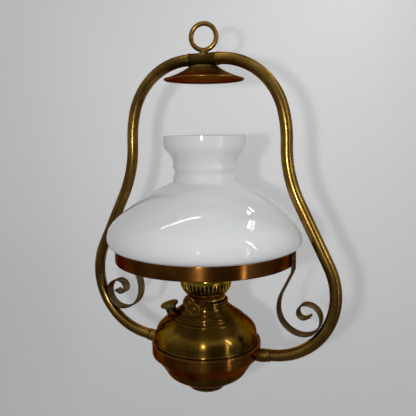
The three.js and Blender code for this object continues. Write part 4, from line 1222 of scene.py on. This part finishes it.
# %% Bend the prongs
PRONGS, PRONG_ROWS = 6, 10
PRONG_OUTSIDE, PRONG_INSIDE, PRONG_FOOT, PRONG_LENGTH = 34.15, 33.45, 13.6, 12.2
PRONG_HALF, PRONG_TAPER = 4.4, 1.6
PRONG_BEND = 34.3
WAIST_LEAN, WAIST_END, TIP_LEAN = 0.9, 0.8, 2.5


def prong_mesh():
    """A prong that narrows upwards, leans in at its waist and out at its tip."""
    made = bmesh.new()
    rows = []
    for i in range(PRONG_ROWS + 1):
        share = i / PRONG_ROWS
        half = PRONG_HALF - PRONG_TAPER * share ** 2
        waist = WAIST_LEAN * math.sin(math.pi * min(share / WAIST_END, 1))
        lean = TIP_LEAN * max(0, share - WAIST_END) - waist
        outside = [(PRONG_OUTSIDE + lean, part * half / PRONG_BEND) for part in (-1, -0.5, 0, 0.5, 1)]
        inside = [(PRONG_INSIDE + lean, angle) for _, angle in reversed(outside)]
        height = PRONG_FOOT + PRONG_LENGTH * share
        spots = [(r * math.sin(angle), -r * math.cos(angle), height) for r, angle in outside + inside]
        rows.append([made.verts.new(Vector(spot) * MM) for spot in spots])
    skinned(made, rows)
    return as_object("prong", made)


prongs = round_the_axis("gallery_prongs", prong_mesh(), PRONGS, bright_brass, QUARTER_TURN)
dress(moved(prongs, up(gallery_rest)), "burner", bright_brass)


# %% Cut with boxes
def carved(piece, *boxes):
    """Cuts boxes, given by their lowest and highest corners in millimetres, out of a piece."""
    for low, high in boxes:
        block = bmesh.new()
        bmesh.ops.create_cube(block, size=1)
        cutter = as_object("cutter", block)
        size, middle = [b - a for a, b in zip(low, high)], [(a + b) / 2 for a, b in zip(low, high)]
        moved(cutter, Matrix.Diagonal((*[s * MM for s in size], 1)), at(*middle))
        step = piece.modifiers.new("slot", "BOOLEAN")
        step.object, step.solver = cutter, "EXACT"
        mesh = bpy.data.meshes.new_from_object(piece.evaluated_get(bpy.context.evaluated_depsgraph_get()))
        piece.modifiers.clear()
        piece.data = mesh
        bpy.data.objects.remove(cutter)
    return piece


# %% Spin the flame cone
CONE_RADIUS, CONE_RISE, CONE_SHEET, CONE_FLANGE, CONE_FOOT = 27.2, 14.8, 0.8, 28.4, 1.2
WICK_OFFSET, SLOT_HALF_WIDTH, SLOT_HALF_LENGTH = 3.1, 1.5, 13.3
SLOT_LOW, SLOT_HIGH = 2, 20


def dome(radius, rise, steps=16):
    angles = [QUARTER_TURN * i / steps for i in range(steps + 1)]
    return [(radius * math.cos(a), CONE_FOOT + rise * math.sin(a)) for a in angles]


cone_inside = CONE_RADIUS - CONE_SHEET
cone_line = [
    *reversed(dome(cone_inside, CONE_RISE - CONE_SHEET)), (cone_inside, 0), (CONE_FLANGE, 0),
    (CONE_FLANGE, CONE_FOOT), *dome(CONE_RADIUS, CONE_RISE),
]
wick_slots = [((middle - SLOT_HALF_WIDTH, -SLOT_HALF_LENGTH, SLOT_LOW),
               (middle + SLOT_HALF_WIDTH, SLOT_HALF_LENGTH, SLOT_HIGH))
              for middle in (-WICK_OFFSET, WICK_OFFSET)]
cone = carved(turned("flame_cone_fine", cone_line, sides=96), *wick_slots)
dress(moved(cone, up(ledge_top + SEAT)), "burner", bright_brass, "flame_cone")

for side in ("left", "right"):
    keep(f"wick_tube_{side}", sooty_brass)
    keep(f"wick_{side}", cotton)

# %% Draw the chimney
CHIMNEY_FOOT, CHIMNEY_BULB, CHIMNEY_TOP, CHIMNEY_HEIGHT, CHIMNEY_GLASS = 31.5, 36.5, 21, 204, 1.6
bulb_shares = [(0, 0), (0, 0.07), (0.2, 0.13), (0.8, 0.18), (1, 0.23), (0.86, 0.3)]
taper_shares = [(0.6, 0.4), (0.3, 0.52), (0.12, 0.66), (0.03, 0.82), (0, 1)]
chimney_side = [(start + (CHIMNEY_BULB - start) * a, CHIMNEY_HEIGHT * u)
                for start, shares in ((CHIMNEY_FOOT, bulb_shares), (CHIMNEY_TOP, taper_shares))
                for a, u in shares]
chimney = turned("chimney_fine", wall(smooth_line(chimney_side, 6), CHIMNEY_GLASS), sides=96)
dress(moved(chimney, up(ledge_top + SEAT)), "chimney_body", clear_glass, "chimney")

# %% [markdown]
# ## Winders
#
# Two spindles come out of a block at the front, one longer than the other, and each carries a round
# knob. The knob's face is dished, with a small boss that has a dimple, and its rim is milled. Deep in
# the burner, two spur wheels on each spindle bite into a wick. The milling and the wheels' teeth are
# single teeth that Geometry Nodes sets round the axis.

# %% Turn the knobs
SPINDLE_DROOP = math.radians(7)
SPINDLE_RADIUS, SPINDLE_OFFSET, SPINDLE_HEIGHT, SPINDLE_END = 1.4, 7, 6.4, 11
KNOB_RADIUS, KNOB_HALF, KNOB_BORE, KNOB_OUT = 10.05, 1.75, 1.7, 0.45
BOSS_END, FACE = -0.15, 1.15
knob_line = [
    (0, BOSS_END), (KNOB_BORE, BOSS_END), (KNOB_BORE, -KNOB_HALF), (9.15, -KNOB_HALF, 0.6),
    (KNOB_RADIUS, -0.9, SOFT), (KNOB_RADIUS, 0.9, SOFT), (9.15, KNOB_HALF, 0.6), (6.9, 1.7, SOFT),
    (6.5, FACE, 0.4), (3.5, FACE, 0.4), (2.2, KNOB_HALF, 0.4), (1.5, KNOB_HALF, FINE), (0.9, 1.05, FINE),
    (0, 1.05),
]

# %% Cut the teeth
MILLING_TEETH, MILLING_RADIUS, MILLING_LENGTH, MILLING_AT = 56, 0.28, 2.2, 10.0
WHEEL_SPREAD, WHEEL_HALF, WHEEL_ROOT, WHEEL_TIP, WHEEL_TEETH = 6, 1.5, 1.9, 2.4, 12
TOOTH_HALF, TIP_HALF, TOOTH_SINK = 0.5, 0.14, 0.3
LEFT_REACH, RIGHT_REACH = 37.7, 52.7


def milling_tooth():
    made = bmesh.new()
    radius = MILLING_RADIUS * MM
    bmesh.ops.create_cone(made, cap_ends=True, segments=8, radius1=radius, radius2=radius,
                          depth=MILLING_LENGTH * MM)
    bmesh.ops.translate(made, verts=made.verts[:], vec=(0, -MILLING_AT * MM, 0))
    return as_object("milling_tooth", made)


def wheel_ends(middle):
    """The lowest and highest place of each of a spindle's two wheels."""
    centres = (middle - WHEEL_SPREAD, middle + WHEEL_SPREAD)
    return [(centre - WHEEL_HALF, centre + WHEEL_HALF) for centre in centres]


def wheel_teeth(middle):
    """One pointed tooth for each of a spindle's two wheels."""
    made = bmesh.new()
    root = WHEEL_ROOT - TOOTH_SINK
    section = [(-TOOTH_HALF, root), (-TIP_HALF, WHEEL_TIP), (TIP_HALF, WHEEL_TIP), (TOOTH_HALF, root)]
    for ends in wheel_ends(middle):
        rows = [[made.verts.new(Vector((across, -out, height)) * MM) for across, out in section]
                for height in ends]
        skinned(made, rows)
    return as_object("wheel_teeth", made)


def spindle_line(reach, middle):
    """The outline of a spindle with its two wheels, below zero."""
    end = -reach - SPINDLE_END
    line = [(0, end), (SPINDLE_RADIUS, end, FINE)]
    for low, high in wheel_ends(middle):
        line += [(SPINDLE_RADIUS, low), (WHEEL_ROOT, low), (WHEEL_ROOT, high), (SPINDLE_RADIUS, high)]
    return rounded([*line, (SPINDLE_RADIUS, -TUCK, FINE), (0, -TUCK)])


# %% Set the winders
for side, sign, reach in (("left", -1, LEFT_REACH), ("right", 1, RIGHT_REACH)):
    body = f"winder_{side}"
    height = burner_rest + SPINDLE_HEIGHT - reach * math.tan(SPINDLE_DROOP)
    drooping = Matrix.Rotation(QUARTER_TURN + SPINDLE_DROOP, 4, "X")
    on_spindle = at(sign * SPINDLE_OFFSET, -reach, height) @ drooping
    on_end = on_spindle @ up(KNOB_OUT)
    middle = -reach / math.cos(SPINDLE_DROOP)
    knob = turned(f"wick_knob_{side}_fine", rounded(knob_line), sides=64, mark_window=0.5)
    milling = round_the_axis(f"knob_milling_{side}", milling_tooth(), MILLING_TEETH, knob_brass)
    bar = turned(f"wick_spindle_{side}_fine", spindle_line(reach, middle), sides=32)
    teeth = round_the_axis(f"wheel_teeth_{side}", wheel_teeth(middle), WHEEL_TEETH, bright_brass)
    dress(moved(knob, on_end), body, knob_brass, f"wick_knob_{side}")
    dress(moved(milling, on_end), body, knob_brass)
    dress(moved(bar, on_spindle), body, bright_brass, f"wick_spindle_{side}")
    dress(moved(teeth, on_spindle), body, bright_brass)

keep("winder_housing", knob_brass)

# %% [markdown]
# ## Stage
#
# The lamp hangs well in front of a pale wall, with a painted pool of light on it behind the lamp.
# The wall can only be seen from its front, so that the lamp can be looked at from behind as well.
# Places on the stage are given as the camera sees them: to the right of, behind and above the
# lamp's middle.

# %% Build the wall
VIEW = math.radians(25.4)
RIGHT = Vector((math.cos(VIEW), math.sin(VIEW), 0))
BACK = Vector((-math.sin(VIEW), math.cos(VIEW), 0))
CENTRE = Vector((0, 0, -0.26))
WALL_BACK, WALL_HALF_WIDTH, WALL_HALF_HEIGHT = 0.45, 2.6, 2.2
# The painted pool of light on the wall: its emission at the middle, fading to none 0.7 m away.
PAINTED_LIGHT_LEVEL = 0.07


def in_view(right, back, rise):
    """A place in metres as the camera sees it from the lamp's middle."""
    return CENTRE + RIGHT * right + BACK * back + Vector((0, 0, rise))


def backdrop():
    made = bmesh.new()
    corners = [(-1, -1), (1, -1), (1, 1), (-1, 1)]
    made.faces.new([made.verts.new(in_view(side * WALL_HALF_WIDTH, WALL_BACK, rise * WALL_HALF_HEIGHT))
                    for side, rise in corners])
    return as_object("backdrop", made)


def pale_paint_with_painted_light():
    """Wall paint, with a painted pool of light behind the lamp that lights nothing, and clear from behind.
    """
    finish = Finish("pale_paint_with_painted_light", Roughness=0.85, Emission_Strength=1.0)
    where = finish.place()
    tone = finish.noise(where, scale=2.2, detail=3, roughness=0.5)
    grey, pale = (0.83, 0.83, 0.837), (0.87, 0.87, 0.873)
    colour = finish.mix(tone, grey, pale)
    # Painted light: the wall glows most near this place behind the lamp, for the camera and in mirrors only.
    painted_light_middle = in_view(0.08, WALL_BACK, 0.1)
    from_painted_middle = finish.node("VectorMath", {"operation": "DISTANCE"}, {0: where, 1: painted_light_middle}, output="Value")
    seen = 1 - finish.node("LightPath", output="Is Diffuse Ray")
    painted_light = (PAINTED_LIGHT_LEVEL - from_painted_middle.between(0.05, 0.7) * PAINTED_LIGHT_LEVEL) * seen
    stipple = finish.bump(finish.noise(where, scale=260, detail=3, roughness=0.5), distance=0.0002)
    finish.set(Base_Color=colour, Normal=stipple, Emission_Color=finish.mix(painted_light, (0, 0, 0), (1, 1, 1)))
    behind = finish.node("NewGeometry", output="Backfacing")
    clear = finish.node("BsdfTransparent")
    painted = Signal(finish, finish.shader.outputs[0])
    whole = finish.node("MixShader", inputs={0: behind, 1: painted, 2: clear})
    finish.join(finish.tree.nodes["Material Output"].inputs["Surface"], whole)
    return finish.material


wall_sheet = backdrop()
wall_sheet.data.materials.append(pale_paint_with_painted_light())

# %% [markdown]
# ## Light
#
# A small lamp close to the camera's left casts the faint shadow on the wall and a round spark on every
# bulge. Three bars of a window high on the right, a tube on the ceiling and two thin strips beside a
# door are there for what they draw on the glass and the brass: each is a long light whose reflection
# was found in the photograph. The room is dark below and paler towards the ceiling as the brass
# reflects it, with a darker side behind the camera, and one even grey as a light.

# %% Hang the lights
def soft_light(name, place, width, height, power):
    """A rectangular lamp that faces the middle of the hanging lamp."""
    lamp = bpy.data.lights.new(name, "AREA")
    lamp.shape = "RECTANGLE"
    lamp.size, lamp.size_y, lamp.energy = width, height, power
    light = placed(name, lamp)
    light.location = place
    light.rotation_euler = (CENTRE - place).to_track_quat("-Z", "Y").to_euler()
    return light


def strip_light(name, start, end, width, radiance):
    """A long light between two places, which turns its face to the middle as far as it can."""
    along = end - start
    power = radiance * math.pi * along.length * width
    light = soft_light(name, (start + end) / 2, along.length, width, power)
    across = (CENTRE - light.location).cross(along)
    facing = along.cross(across).normalized()
    along.normalize()
    axes = Matrix((along, along.cross(facing), -facing)).transposed()
    light.matrix_world = Matrix.Translation(light.location) @ axes.to_4x4()


NEAR_LAMP_SIZE, NEAR_LAMP_POWER = 0.026, 2.3
soft_light("near_lamp", in_view(-0.106, -0.838, 0.121), NEAR_LAMP_SIZE, NEAR_LAMP_SIZE, NEAR_LAMP_POWER)

# Each strip has its two ends as the camera sees them, its width and its radiance.
STRIPS = {
    "ceiling_tube": ((-0.715, 0.157, 1.2), (-0.067, 0.107, 1.2), 0.02, 16),
    "window_bar_near": ((0.378, 0.25, 0.6), (0.378, 0.0, 0.6), 0.03, 16),
    "window_bar_far": ((0.415, 0.25, 0.6), (0.42, -0.03, 0.6), 0.014, 12),
    "window_corner": ((0.39, 0.31, 0.6), (0.43, 0.325, 0.6), 0.02, 16),
    "door_edge_high": ((0.991, -0.709, 1.145), (1.379, -0.985, 0.261), 0.08, 12),
    "door_gap": ((1.14, -1.15, 0.6), (1.14, -1.15, -0.9), 0.1, 4),
}
for name, (start, end, width, radiance) in STRIPS.items():
    strip_light(name, in_view(*start), in_view(*end), width, radiance)

# %% Surround it with a room
FLOOR, WALLS, CEILING = 0.1, 0.22, 0.4
DARK_SIDE, DARKENING = math.radians(22), 0.7
EVEN_LIGHT, EVEN_RISE, SEEN_GREY = 0.355, 0.06, 0.56


def room():
    """The room as mirrors see it, as a plain light, and as a grey where the camera sees past the wall."""
    world = bpy.data.worlds.new("room")
    world.use_nodes = True
    writer = Writer(world.node_tree)
    way = writer.node("TexCoord", output="Generated")
    rise = writer.node("SeparateXYZ", inputs={0: way}, output="Z")
    level = FLOOR + rise.between(-0.45, 0.25) * WALLS + rise.between(0.3, 0.85) * CEILING
    dark_way = RIGHT * math.sin(DARK_SIDE) - BACK * math.cos(DARK_SIDE)
    facing = writer.node("VectorMath", {"operation": "DOT_PRODUCT"}, {0: way, 1: dark_way}, "Value")
    level = level * (1 - facing.between(0.8, 0.95) * DARKENING)
    seen = writer.node("LightPath", output="Is Camera Ray")
    mirrored = writer.node("LightPath", output="Is Glossy Ray")
    even = EVEN_LIGHT + rise * EVEN_RISE
    strength = (level * mirrored + even * (1 - mirrored)) * (1 - seen) + seen * SEEN_GREY
    background = world.node_tree.nodes["Background"]
    background.inputs["Color"].default_value = (0.98, 0.99, 1.0, 1)
    writer.join(background.inputs["Strength"], strength)
    return world


bpy.context.scene.world = room()

# %% [markdown]
# ## Camera
#
# The camera stands a little to the right of the front and looks slightly down. Its place came from
# the ring's ellipse and from the harp's two sides, which the nearer one makes larger.

# %% Set the camera
PITCH, YAW, ROLL = math.radians(8.37), math.radians(0.31), math.radians(-0.51)
CAMERA_PLACE = (0.3123, -0.6576, -0.1387)
SENSOR_WIDTH, FOCAL_LENGTH = 36, 45.35


def camera_axes():
    """The camera's right, up and back axes."""
    forward = Vector((math.sin(YAW) * math.cos(PITCH), math.cos(YAW) * math.cos(PITCH), -math.sin(PITCH)))
    side = Vector((math.cos(YAW), -math.sin(YAW), 0))
    upright = side.cross(forward)
    right = side * math.cos(ROLL) + upright * math.sin(ROLL)
    head = upright * math.cos(ROLL) - side * math.sin(ROLL)
    turn = Matrix.Rotation(VIEW, 3, "Z")
    return Matrix((turn @ right, turn @ head, turn @ -forward)).transposed()


lens = bpy.data.cameras.new("camera")
lens.sensor_width, lens.lens = SENSOR_WIDTH, FOCAL_LENGTH
camera = placed("camera", lens)
camera.matrix_world = Matrix.Translation(CAMERA_PLACE) @ camera_axes().to_4x4()
bpy.context.scene.camera = camera
bpy.context.scene.view_settings.view_transform = "Standard"
